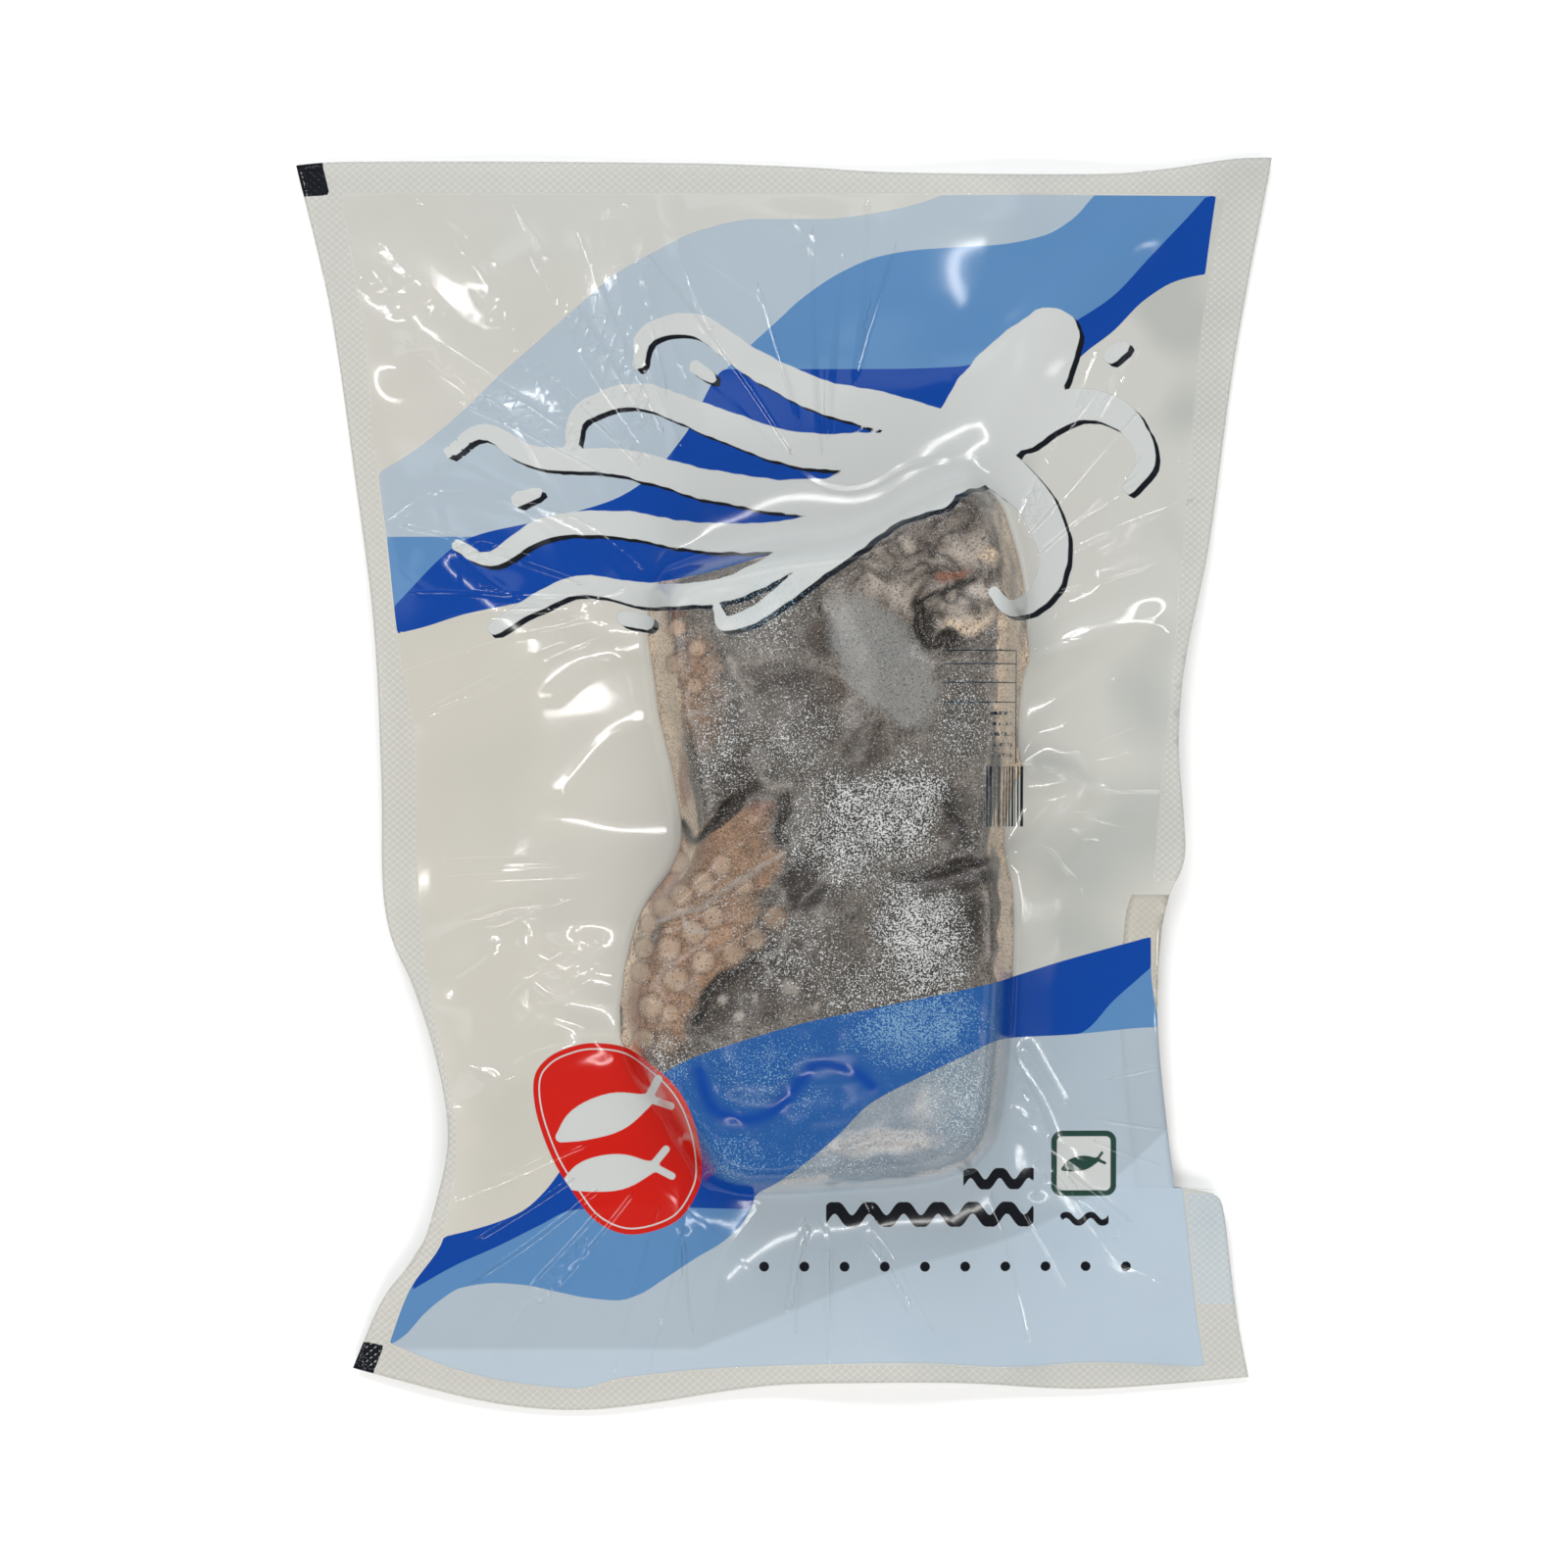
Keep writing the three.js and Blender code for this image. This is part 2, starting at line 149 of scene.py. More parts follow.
# White brush picture of an octopus, as strokes of (x, y, half width).
OCTOPUS_STROKES = [
    [(60, 101, 6.9), (54, 93, 9.7), (47, 84, 10.6), (41, 75, 8.6)],
    [
        (40, 78, 5.2), (24, 84, 4.3), (8, 88, 3.7), (-8, 96, 3.1), (-20, 104, 2.6), (-31, 102, 2),
        (-33, 95, 1.4),
    ],
    [
        (38, 74, 5.2), (20, 75, 4.5), (2, 76, 3.8), (-16, 82, 3.4), (-33, 88, 2.8), (-46, 84, 2.1),
        (-48, 76, 1.4),
    ],
    [
        (38, 70, 5), (20, 67, 4.3), (2, 65, 3.8), (-18, 68, 3.4), (-38, 73, 2.9), (-56, 74, 2.4),
        (-68, 80, 1.8), (-76, 75, 1.3),
    ],
    [
        (34, 66, 4.4), (18, 61, 3.8), (0, 56, 3.5), (-20, 56, 3.2), (-38, 59, 2.9), (-54, 58, 2.4),
        (-66, 51, 1.8), (-74, 54, 1.3),
    ],
    [
        (14, 59, 3.5), (0, 50, 3.1), (-14, 43.5, 2.7), (-30, 42.5, 2.6), (-46, 45, 2.2), (-58, 40, 1.8),
        (-66, 35, 1.3),
    ],
    [(48, 72, 5), (57, 63, 4.2), (61, 52, 3.4), (58, 43, 2.5), (51, 39.5, 1.8), (47, 43, 1.2)],
    [(54, 80, 4.3), (66, 86, 3.7), (77, 83, 3), (82, 74, 2.2), (78, 67, 1.5)],
    [(24, 62, 3.5), (14, 54, 2.9), (4, 46, 2.4), (-6, 38.5, 1.8), (-13, 36, 1.6), (-15, 39.5, 1)],
    [(-36, 37.5, 1.8), (-31, 36.5, 1.7)],
    [(-60, 64.5, 1.8), (-56, 66, 1.4)],
    [(74, 97, 1.8), (77, 99, 1.4)],
    [(-20, 94.5, 1.6), (-16.5, 92, 1.3)],
]
SHADE_SHIFT = (1.1, -0.9)  # black edge below and to the right of each white stroke

# Small fish in the stamp and in the green badge: strokes from the nose to the tail.
FISH_STROKES = [
    [(-1.0, 0, 0.10), (-0.55, 0.06, 0.30), (0, 0.02, 0.34), (0.5, -0.02, 0.16), (0.72, 0, 0.08)],
    [(0.66, 0, 0.07), (0.98, 0.26, 0.07)],
    [(0.66, 0, 0.07), (0.98, -0.26, 0.07)],
]
STAMP_FISH = [((-38.5, -74.5), 13.0, 24), ((-37.5, -88.0), 12.0, 12)]  # centre, half length, turn
BADGE_CENTRE = (67.8, -85.8)
BADGE_HALF_WIDTH = 7.4
BADGE_CORNER = 2.4
BADGE_BORDER = 1.3
BADGE_FISH = [(BADGE_CENTRE, 4.8, 15)]

# Plain dark ornaments: wavy rules and a row of dots.
WAVY_RULES = [  # left end, length, height of the wave, wavelength, half width
    ((40.5, -89.2), 16.0, 1.3, 6.6, 1.15),
    ((9.5, -97.3), 47.0, 1.5, 7.8, 1.35),
    ((62.5, -98.4), 11.0, 0.9, 5.5, 0.7),
]
DOT_ROW = ((-4.5, -109.2), 9.1, 10, 1.15)  # first dot, pitch, how many, radius

# Ruled panel at the block's right edge.
PANEL_LEFT, PANEL_RIGHT = 35.5, 52.3
PANEL_FOOT, PANEL_TOP = 4.6, 30.1
PANEL_RULES = [30.0, 27.0, 22.8, 18.4]

# Bluish flap beside the print at the lower right.
FLAP_LEFT = 90.0
FLAP_FOOT, FLAP_TOP = -117.8, -92.7

# Boxes where the print is fine: left, foot, right, top.
SMALL_PRINT = [
    (8, -101, 77, -87),
    (59.5, -94, 76, -77.5),
    (-6.5, -111, 79, -107.5),
    (-58, -103, -17.5, -57.5),
]
DETAIL_MARGIN = 0.9  # beyond the half width of a furrow or ridge

# Soft patches on the frozen flesh: (x, y), radii, turn in degrees, strength.
WARM_PATCHES = [
    ((-15, -17), (16, 8.5), 45, 1.0),
    ((-18.5, -36), (21, 10.5), 62, 1.0),
    ((-28, -50), (7, 14), 4, 1.0),
    ((-19, 20), (8, 19), 5, 0.62),
    ((-6, -20), (9, 5), 40, 0.8),
]
PALE_PATCHES = [
    ((-26.6, 21), (3.4, 32), 8, 1.0),
    ((43, 51), (5.5, 4.5), 0, 0.9),
    ((41, 37.5), (7, 4.5), 10, 0.9),
    ((50, 24), (2.6, 30), 0, 0.9),
    ((49.5, -30), (1.8, 30), 0, 0.9),
    ((22, -80.5), (17, 3.6), 6, 0.8),
    ((34, -72), (9, 6), 20, 0.6),
]
MARBLED_PATCHES = [
    ((32, 46), (20, 10), -10, 1.1),
    ((40, 60), (9, 12), -10, 1.0),
    ((18, 52), (13, 6), 16, 1.0),
]
BROWN_PATCHES = [
    ((8.9, 32.5), (3.9, 4.1), 0, 1.5),
    ((18.9, 8.8), (5.0, 5.8), 0, 1.2),
    ((4, 22), (13, 4.4), -8, 1.1),
    ((-2, 25.5), (5, 2.4), 10, 0.8),
    ((-2.8, 41), (1.4, 5.5), 4, 0.9),
    ((-11.5, 2), (6, 7.5), -20, 0.9),
    ((-4, -46), (15, 8), 14, 0.9),
    ((-16, -53), (7, 6), 20, 0.8),
    ((12, -38), (9, 10), 10, 0.5),
    ((-23.5, 43), (3, 5), 0, 0.6),
    ((47.2, -26), (1.3, 14), 0, 1.0),
    ((20, 55), (8, 3), 20, 0.5),
]
# Darker skin and painted shade: most of these darken the flesh beside furrows and folds, and the two lowest
# paint the shadow under the curled ridge at the foot.
DARK_SKIN_AND_SHADE_PATCHES = [
    ((22, -86.5), (11, 3.0), 2, 0.9),
    ((14, -88.5), (5, 2.0), 0, 0.7),
    ((4, -22), (4.6, 7), 10, 1.2),
    ((-14, -45), (8, 2.6), 38, 0.8),
    ((37, -22.0), (12, 2.8), 8, 1.1),
    ((41, -31), (6, 12), 0, 0.7),
    ((38, -7), (4, 8), -22, 0.6),
    ((31.5, 35), (2.6, 5.0), 8, 1.2),
    ((36.5, 32.5), (4.2, 2.2), 0, 1.1),
    ((-13, -6.5), (8, 2.0), 42, 1.1),
    ((0, -8), (2.2, 7), -6, 1.0),
    ((7, -24.5), (6, 2.6), 0, 0.9),
    ((22, 47), (6, 1.6), -30, 0.6),
]
RED_PATCHES = [
    ((-26.5, -21.7), (3.3, 10.5), -20, 1.1),
    ((-33.5, -50), (3, 9), 0, 0.7),
    ((-22.6, 1), (1.6, 8), 5, 0.8),
    ((-24, 39), (2.4, 4.5), 0, 0.6),
    ((-5, -5.5), (4.5, 3), 20, 0.6),
    ((-18, -16), (4, 2.4), 40, 0.5),
    ((38, 47), (6, 1.6), 18, 0.7),
]
SMOOTH_PATCHES = [((22.3, 27.4), (9.4, 18.5), 37, 1.1), ((38, 12), (8, 11), 0, 0.45)]
SKIN_PATCHES = {
    "warm": WARM_PATCHES,
    "red": RED_PATCHES,
    "brown": BROWN_PATCHES,
    "dark_skin": DARK_SKIN_AND_SHADE_PATCHES,
    "marbled": MARBLED_PATCHES,
    "smooth_skin": SMOOTH_PATCHES,
}

# Frost between the film and the flesh.
FROST_PATCHES = [
    ((24, -6), (21, 14), 0, 1.0),
    ((31, -33), (12, 19), 8, 1.0),
    ((12, -14), (13, 12), 0, 0.85),
    ((38, 14), (9, 14), 0, 0.6),
    ((30, -54), (16, 9), 10, 1.0),
    ((20, -46), (15, 9), 0, 0.65),
    ((-2, 38), (13, 11), 0, 0.5),
    ((-14, 8), (10, 18), 0, 0.55),
    ((2, 10), (14, 13), 0, 0.55),
    ((2, -38), (15, 14), 0, 0.5),
    ((-28, -46), (10, 18), 0, 0.22),
    ((-14, -24), (12, 10), 0, 0.28),
    ((-4, -66), (19, 11), 0, 0.5),
    ((40, -70), (9, 13), 0, 0.75),
    ((12, -86), (20, 7), 0, 0.4),
    ((-12, -84), (9, 6), 0, 0.6),
    ((-27, -62), (7, 7), 0, 0.6),
]
FROST_FREE = [
    ((22, 27.2), (9, 16.5), 37, 1.0),
    ((8.9, 32.5), (4.2, 4.4), 0, 1.0),
    ((38, -7), (4.5, 9), -20, 0.6),
    ((45, -32), (3.2, 16), 0, 0.6),
    ((12, -65), (5.5, 3.2), 10, 0.9),
    ((18.9, 8.8), (5.0, 5.6), 0, 0.85),
    ((32, 46), (14, 9), 0, 0.5),
    ((37, -22.0), (9, 2.4), 8, 0.8),
    ((-13, -6.5), (7, 2.0), 42, 0.7),
    ((4, -23), (5, 4), 0, 0.5),
]
# Channel where the film bridges a hollow and no frost touches it: path and half width.
DRY_CHANNEL = (
    [
        (-19, -64.7), (-16.2, -72.5), (-9.1, -75.3), (-2, -73.2), (3.6, -66.8), (8, -62.8),
        (16, -64.8), (20, -68),
    ],
    1.5,
)

# Where the free film is crumpled.
CRUMPLED_PATCHES = [
    ((-78, 100), (24, 34), 0, 1.0),
    ((-66, 62), (26, 16), 0, 0.9),
    ((-24, 112), (24, 22), 0, 0.7),
    ((-44, 36), (14, 22), 0, 0.9),
    ((-50, -44), (20, 20), 0, 0.8),
    ((74, 62), (22, 36), 0, 0.8),
    ((62, 4), (14, 22), 0, 1.0),
    ((60, -78), (10, 16), 0, 0.8),
    ((-44, -114), (26, 16), 0, 0.7),
    ((30, 124), (40, 8), 0, 0.4),
    ((18, -100), (26, 9), 0, 0.5),
    ((20, 76), (40, 14), 0, 0.5),
]

# Suckers on the folded arms, (x, y, radius).
SUCKERS = [
    (-24.3, -17.6, 2.4), (-14.1, -18.2, 2.3), (-18.3, -22.2, 2.5), (-23.0, -24.9, 2.4),
    (-26.8, -27.8, 2.3), (-15.9, -29.8, 2.4), (-2.1, -30.2, 2.5), (-20.3, -33.3, 2.5),
    (-6.3, -34.9, 2.5), (-25.9, -36.7, 2.5), (-31.4, -36.9, 2.1), (-11.2, -38.2, 2.6),
    (-18.1, -39.8, 2.6), (-32.1, -42.4, 2.2), (-24.3, -43.8, 2.6), (-29.9, -49.9, 2.7),
    (-9.0, -22.6, 2.1), (-30.5, -31.5, 1.9), (-31.5, -57.5, 2.3), (-25.5, -51.5, 1.9),
    (-26.5, -58.5, 2.2), (-24, 35, 1.9), (-19.4, 30.5, 1.8), (-24.5, 27, 1.8), (-20, 22, 1.7),
]
PALE_SPOTS = [
    (1.2, -45.3, 2.0), (-13.4, -48.7, 1.1), (-6.1, -48.7, 0.9), (-9.4, -52.0, 1.3), (7.4, -49.8, 1.1),
]

# Sharp furrows pressed into the flesh: path, depth, half width. The flesh is also painted near-black along
# them as painted shade.
FLESH_FURROWS = [
    ([(-22.6, -8.9), (-19.4, -12.9), (-14.8, -6.8), (-9.1, -1.9), (-5.4, -0.4)], 1.0, 0.9),
    ([(0.8, -2.6), (-0.3, -7.5), (-1.3, -12.5)], 0.7, 0.6),
    ([(25.6, -20.6), (31.9, -20), (40.5, -17.9), (45.5, -16.9)], 1.1, 1.0),
    ([(30.6, 40), (30.8, 35), (33.4, 31.2), (36.6, 33.4), (37.6, 30)], 1.2, 0.8),
    ([(30, 40.6), (36, 43), (43.2, 46.7)], 0.7, 1.0),
    ([(7.6, 44), (8.2, 39.5), (9.6, 37.2)], 0.8, 0.6),
    ([(-12.3, 27.1), (-9.4, 22.4), (-7.4, 20.6)], 0.5, 0.5),
    ([(34.5, 0), (38.5, -7), (40.6, -13)], 0.7, 1.6),
    ([(-20, -53), (-15.5, -45), (-8, -40), (-2, -36)], 0.5, 0.9),
]
FLESH_RIDGES = [
    ([(-7.7, 5.6), (-5.6, 1.4), (-2.6, 0.2), (0.9, -0.6), (1.2, -3)], 0.8, 0.55),
    ([(25, -18.4), (33, -17.9), (42, -15.8)], 0.9, 1.1),
    ([(0.6, -34.2), (-1.6, -37.4), (-4.2, -39.6), (-4.6, -42)], 0.5, 0.5),
    ([(33, 36), (36, 34.5), (39, 35)], 0.8, 1.2),
    ([(14, -82), (22, -79.6), (31, -80.5), (38, -84)], 0.7, 1.1),
    ([(35, 27), (44, 31), (50, 36)], 0.5, 1.6),
    ([(36, 58), (42, 52), (47, 46)], 0.5, 1.6),
    ([(-28, -30), (-21, -28), (-11, -22), (0, -15)], 0.5, 0.9),
]
# Pale threads between the arms.
THREAD_WIDTH = 0.6
PALE_THREADS = [
    [(-28.5, -31), (-24, -29.4), (-18.6, -27.4), (-12, -23), (-5, -18.6), (0, -15.4)],
    [(-23, -28.5), (-21.6, -32.4), (-17.5, -33.4)],
    [(0.8, -34), (-1.2, -37.4), (-4.4, -39), (-3.6, -42.4)],
    [(-7.7, 5.6), (-5.6, 1.4), (-2.6, 0.2), (0.9, -0.6)],
    [(-12.4, 27.4), (-9.8, 23.2), (-7.6, 20.8)],
    [(-22.4, 15.6), (-15.5, 17.4), (-11, 19.6)],
]

# Fine folds of the drawn film: path, height, half width.
FILM_CREASES = [
    ([(-82, 131), (-66, 112), (-57, 96), (-48, 82)], 0.45, 1.1),
    ([(-90, 122), (-76, 108), (-62, 98), (-50, 84)], 0.35, 0.9),
    ([(-41, 128), (-36, 108), (-30, 92), (-24, 78)], 0.55, 1.3),
    ([(-36, 130), (-31, 112), (-22, 92)], 0.45, 1.1),
    ([(-26, 133), (-23, 118), (-17, 104)], 0.4, 1.2),
    ([(-92, 116), (-88, 107), (-84, 112), (-80, 106)], 0.5, 1.0),
    ([(-97, 113), (-92, 111), (-86, 113)], 0.4, 0.9),
    ([(52, 26.5), (62, 31), (84, 36.5)], 0.6, 1.1),
    ([(54, 30), (68, 45), (80, 60)], 0.45, 1.1),
    ([(60, 62), (72, 84), (80, 98)], 0.5, 1.3),
    ([(56, 60), (66, 86), (70, 98)], 0.4, 1.0),
    ([(42, -2), (52, 1.5), (58.5, 3.8), (67.5, -1.1), (55.7, -13.3), (51.4, -16)], 0.8, 1.2),
    ([(53, 4), (66, 2), (69, -3)], 0.5, 1.0),
    ([(52, -62), (58, -74), (60, -82), (57, -92)], 0.6, 1.1),
    ([(55, -60), (63, -72)], 0.5, 0.9),
    ([(54, -70), (72, -104), (84, -112)], 0.4, 1.2),
    ([(-19, -84.5), (-21, -92), (-22.5, -100)], 0.5, 0.9),
    ([(-28, -60), (-37, -58), (-50, -54), (-58, -48)], 0.6, 1.1),
    ([(-38, -50), (-50, -46), (-58, -40), (-66, -36)], 0.5, 1.1),
    ([(-36, -42), (-48, -38), (-62, -30)], 0.45, 1.2),
    ([(-37, 44), (-48, 40), (-60, 42), (-74, 52)], 0.45, 1.2),
    ([(-33, 50), (-46, 60), (-60, 64), (-80, 66), (-90, 60)], 0.5, 1.1),
    ([(-30, 30), (-42, 28), (-52, 20)], 0.45, 1.0),
    ([(-28, 16), (-42, 8), (-50, -2)], 0.35, 1.1),
    ([(-86, -60), (-74, -62), (-64, -66)], 0.5, 1.2),
    ([(-44, -106), (-58, -118), (-66, -130)], 0.4, 1.3),
    ([(-6, -96), (-14, -108), (-16, -124)], 0.35, 1.2),
    ([(20, -96), (16, -112), (18, -126)], 0.3, 1.3),
    ([(86, -6), (72, -8), (60, -20)], 0.4, 1.3),
    ([(52, 4), (60, 14), (74, 24)], 0.5, 1.1),
]
# Fans of fine creases: centre, inner and outer radius, first and last direction in degrees, how many.
CREASE_FANS = [
    ((-20, 60), 18, 84, 100, 160, 9),
    ((-30, 40), 14, 66, 150, 215, 7),
    ((10, 60), 14, 80, 70, 120, 6),
    ((42, 40), 18, 60, 5, 70, 9),
    ((45, 0), 14, 44, -50, 35, 7),
    ((-25, -20), 20, 58, 165, 235, 7),
    ((-20, -70), 26, 66, 195, 275, 9),
    ((40, -70), 22, 62, -80, 10, 7),
    ((10, -80), 16, 52, 245, 300, 6),
]
# Small dents and blisters of the film that catch the lamps: place, height, radius.
FILM_BLISTERS = [
    ((-88.5, 95), 0.9, 6.0),
    ((-90, 16), 0.35, 3.0),
    ((72, 48), 0.5, 7.0),
    ((61, 36), 0.45, 5.0),
    ((-52, -40), 0.5, 6.0),
    ((8, 128), 0.35, 6.0),
    ((-32, 114), 0.9, 10.0),
    ((4, 128), 0.5, 9.0),
    ((-40, -52), 0.5, 5.0),
]

# Lamps in metres: name, place, size, power, colour, and whether the film mirrors it.
LAMPS = [
    ("Top_softbox", (-0.5, 1.75, 1.35), (1.7, 1.3), 46, (0.96, 0.98, 1.0), False),
    ("Foot_softbox", (0.4, -1.8, 1.35), (1.7, 1.2), 41, (1.0, 0.985, 0.96), False),
    ("Window", (-0.12, 0.42, 1.75), (0.34, 0.18), 0.18, (0.78, 0.89, 1.0), True),
    ("Left_tube", (-1.0, 0.0, 1.6), (0.035, 1.8), 6, (1.0, 0.985, 0.96), True),
    ("Top_tube", (0.2, 1.2, 1.5), (1.9, 0.035), 6, (1.0, 0.99, 0.98), True),
    ("Right_tube", (1.45, 0.0, 1.5), (0.03, 1.6), 5, (1.0, 0.99, 0.97), True),
    ("Foot_tube", (-0.1, -1.1, 1.6), (1.8, 0.03), 5, (1.0, 0.99, 0.97), True),
]
SKY_COLOUR = (0.94, 0.97, 1.0, 1)
SKY_STRENGTH = 0.16

# Tints that go with the colours a user sets.
BLUE_ON_FLESH = (0.012, 0.088, 0.235, 1)
RED_ON_FLESH = (0.46, 0.13, 0.10, 1)
FROSTED_INK = (0.21, 0.37, 0.48, 1)
CLEAR_TINT = (0.50, 0.49, 0.46, 1)
# Painted light and shade of the embossed seal and flap: the raised lines are painted lit and the hollows
# painted shaded.
SEAL_HOLLOW_SHADE, SEAL_RAISED_LIGHT = (0.395, 0.395, 0.370, 1), (0.56, 0.558, 0.528, 1)
FLAP_HOLLOW_SHADE, FLAP_RAISED_LIGHT = (0.34, 0.42, 0.49, 1), (0.46, 0.545, 0.62, 1)
PALE_MARBLE, DARK_MARBLE = (0.39, 0.34, 0.29, 1), (0.030, 0.022, 0.017, 1)
BROWN_SKIN = (0.056, 0.044, 0.036)
RED_SKIN = (0.22, 0.085, 0.050)
DARK_SKIN_AND_SHADE = (0.018, 0.015, 0.013)
SMOOTH_SKIN = (0.185, 0.187, 0.181, 1)
GRIT = (0.013, 0.010, 0.008, 1)
SUCKER_EDGE, SUCKER_FACE = (0.082, 0.036, 0.018, 1), (0.39, 0.275, 0.19, 1)
FURROW_SHADE = (0.008, 0.006, 0.005, 1)
THREAD_PALE = (0.40, 0.36, 0.32, 1)
PEPPER = (0.022, 0.019, 0.016)
DULL_FROST, BRIGHT_FROST = (0.28, 0.28, 0.27, 1), (0.74, 0.76, 0.76, 1)
SPECK = (0.34, 0.32, 0.30, 1)
PORE = (0.014, 0.011, 0.010, 1)
DULL_ICE, BRIGHT_ICE = (0.27, 0.28, 0.285, 1), (0.52, 0.54, 0.545, 1)


# ---------------------------------------------------------------------------------- curves


def curve_at(points, position):
    """Value of the smooth curve through (position, value) points. It never overshoots them."""
    xs, ys = np.array(sorted(points), float).T
    chord = np.diff(ys) / np.diff(xs)
    before, after = chord[:-1], chord[1:]
    both = before + after
    blend = 2 * before * after / np.where(both == 0, 1, both)
    inner = np.where(before * after > 0, blend, 0)
    slope = np.concatenate(([chord[0]], inner, [chord[-1]]))
    at = np.clip(position, xs[0], xs[-1])
    k = np.clip(np.searchsorted(xs, at) - 1, 0, len(xs) - 2)
    span = xs[k + 1] - xs[k]
    t = (at - xs[k]) / span
    rise = ys[k + 1] - ys[k]
    start = slope[k] * span - rise
    end = rise - slope[k + 1] * span
    return ys[k] + rise * t + t * (1 - t) * (start * (1 - t) + end * t)


def spline(points, steps=6, closed=False):
    """The points of a smooth curve through these, each a row of numbers."""
    rows = np.array(points, float)
    if closed:
        padded = np.vstack([rows[-1], rows, rows[0], rows[1]])
    else:
        padded = np.vstack([2 * rows[0] - rows[1], rows, 2 * rows[-1] - rows[-2]])
    found = []
    for p0, p1, p2, p3 in zip(padded, padded[1:], padded[2:], padded[3:]):
        for t in np.arange(steps) / steps:
            bend = (2 * p0 - 5 * p1 + 4 * p2 - p3) * t**2 + (3 * p1 - p0 - 3 * p2 + p3) * t**3
            found.append(p1 + 0.5 * ((p2 - p0) * t + bend))
    if not closed:
        found.append(rows[-1])
    return np.array(found)


def along(x, y, start, end):
    """Distance from each place to the line from start to end, and how far along it the nearest point is."""
    dx, dy = end[0] - start[0], end[1] - start[1]
    t = ((x - start[0]) * dx + (y - start[1]) * dy) / max(dx * dx + dy * dy, 1e-12)
    t = np.clip(t, 0, 1)
    return np.hypot(x - start[0] - t * dx, y - start[1] - t * dy), t


def path_distance(x, y, path):
    return np.min([along(x, y, a, b)[0] for a, b in zip(path, path[1:])], axis=0)


def stroke_field(x, y, stroke):
    """How deep each place is inside a brush stroke, negative outside it."""
    best = np.full(np.shape(x), -1e3)
    rows = spline(stroke)
    for a, b in zip(rows, rows[1:]):
        away, t = along(x, y, a, b)
        best = np.maximum(best, a[2] + (b[2] - a[2]) * t - away)
    return best


def outline_field(x, y, outline):
    """How deep each place is inside a closed outline, negative outside it."""
    inside = np.zeros(np.shape(x), bool)
    ring = np.vstack([outline, outline[:1]])
    for (ax, ay), (bx, by) in zip(ring, ring[1:]):
        if ay != by:
            crossing = ax + (y - ay) / (by - ay) * (bx - ax)
            inside ^= ((ay > y) != (by > y)) & (x < crossing)
    away = path_distance(x, y, ring)
    return np.where(inside, away, -away)


def union(fields):
    return np.max(list(fields), axis=0)


def overlap(*fields):
    return np.min(fields, axis=0)


def bell(distance, width):
    return np.exp(-((distance / width) ** 2))


def path_bell(x, y, path, width):
    """1 on the smooth curve through the path's points, falling off on both sides of it."""
    return bell(path_distance(x, y, spline(path)), width)


def disc(away):
    """1 inside a round spot and 0 outside it, for a distance given in radii."""
    return np.exp(-(away**6))


def patch_field(x, y, patches):
    """The strongest of several soft, turned ovals at each place."""
    found = np.zeros(np.shape(x))
    for centre, radii, turn, strength in patches:
        c, s = math.cos(math.radians(turn)), math.sin(math.radians(turn))
        u = ((x - centre[0]) * c + (y - centre[1]) * s) / radii[0]
        v = ((y - centre[1]) * c - (x - centre[0]) * s) / radii[1]
        found = np.maximum(found, strength * np.exp(-((u * u + v * v) ** 1.5)))
    return found


def crease_height(x, y, creases):
    """Sum of the ridges along smooth paths."""
    total = np.zeros(np.shape(x))
    for path, height, width in creases:
        total += height * path_bell(x, y, path, width)
    return total


def crease_side(x, y, creases):
    """Distance to the nearest crease, negative on one side of it, and how deep that crease is here."""
    nearest = np.full(np.shape(x), 1e3)
    side = np.ones(np.shape(x))
    depth = np.zeros(np.shape(x))
    for path, height, _ in creases:
        rows = spline(path)
        for a, b in zip(rows, rows[1:]):
            away, _ = along(x, y, a, b)
            closer = away < nearest
            turn = (b[0] - a[0]) * (y - a[1]) - (b[1] - a[1]) * (x - a[0])
            side = np.where(closer, np.where(turn < 0, -1, 1), side)
            depth = np.where(closer, height, depth)
            nearest = np.where(closer, away, nearest)
    return nearest * side, depth * np.clip(2 - nearest / 0.9, 0, 1)


def turned(strokes, centre, size, turn):
    """Strokes of unit size, brought to a place, size and turn."""
    c, s = math.cos(math.radians(turn)) * size, math.sin(math.radians(turn)) * size
    return [
        [(centre[0] + px * c - py * s, centre[1] + px * s + py * c, r * size) for px, py, r in stroke]
        for stroke in strokes
    ]


def ripple(x, y, size, seed):
    """Smooth noise from -1 to 1 over the pack, with lumps about this size."""
    return np.array([noise.noise(Vector((a / size, b / size, seed))) for a, b in zip(x, y)])


# ------------------------------------------------------------------------------ mesh helpers


def linked(name, data):
    made = bpy.data.objects.new(name, data)
    bpy.context.scene.collection.objects.link(made)
    return made


def bm_from(mesh):
    bm = bmesh.new()
    bm.from_mesh(mesh)
    return bm


def write_back(bm, mesh):
    bm.to_mesh(mesh)
    bm.free()


def mesh_from(bm, name):
    mesh = bpy.data.meshes.new(name)
    write_back(bm, mesh)
    return mesh


def places(mesh):
    """The mesh's vertices in millimetres, as x, y and z."""
    co = np.empty(len(mesh.vertices) * 3)
    mesh.vertices.foreach_get("co", co)
    return (co.reshape(-1, 3) / MM).T


def set_places(mesh, x, y, z):
    mesh.vertices.foreach_set("co", (np.array([x, y, z]).T * MM).ravel())
    mesh.update()


def store(mesh, name, values):
    """Keeps a number for each vertex, which a material reads by name."""
    layer = mesh.attributes.new(name, "FLOAT", "POINT")
    layer.data.foreach_set("value", np.asarray(values, np.float32))


def smooth(mesh):
    mesh.polygons.foreach_set("use_smooth", [True] * len(mesh.polygons))


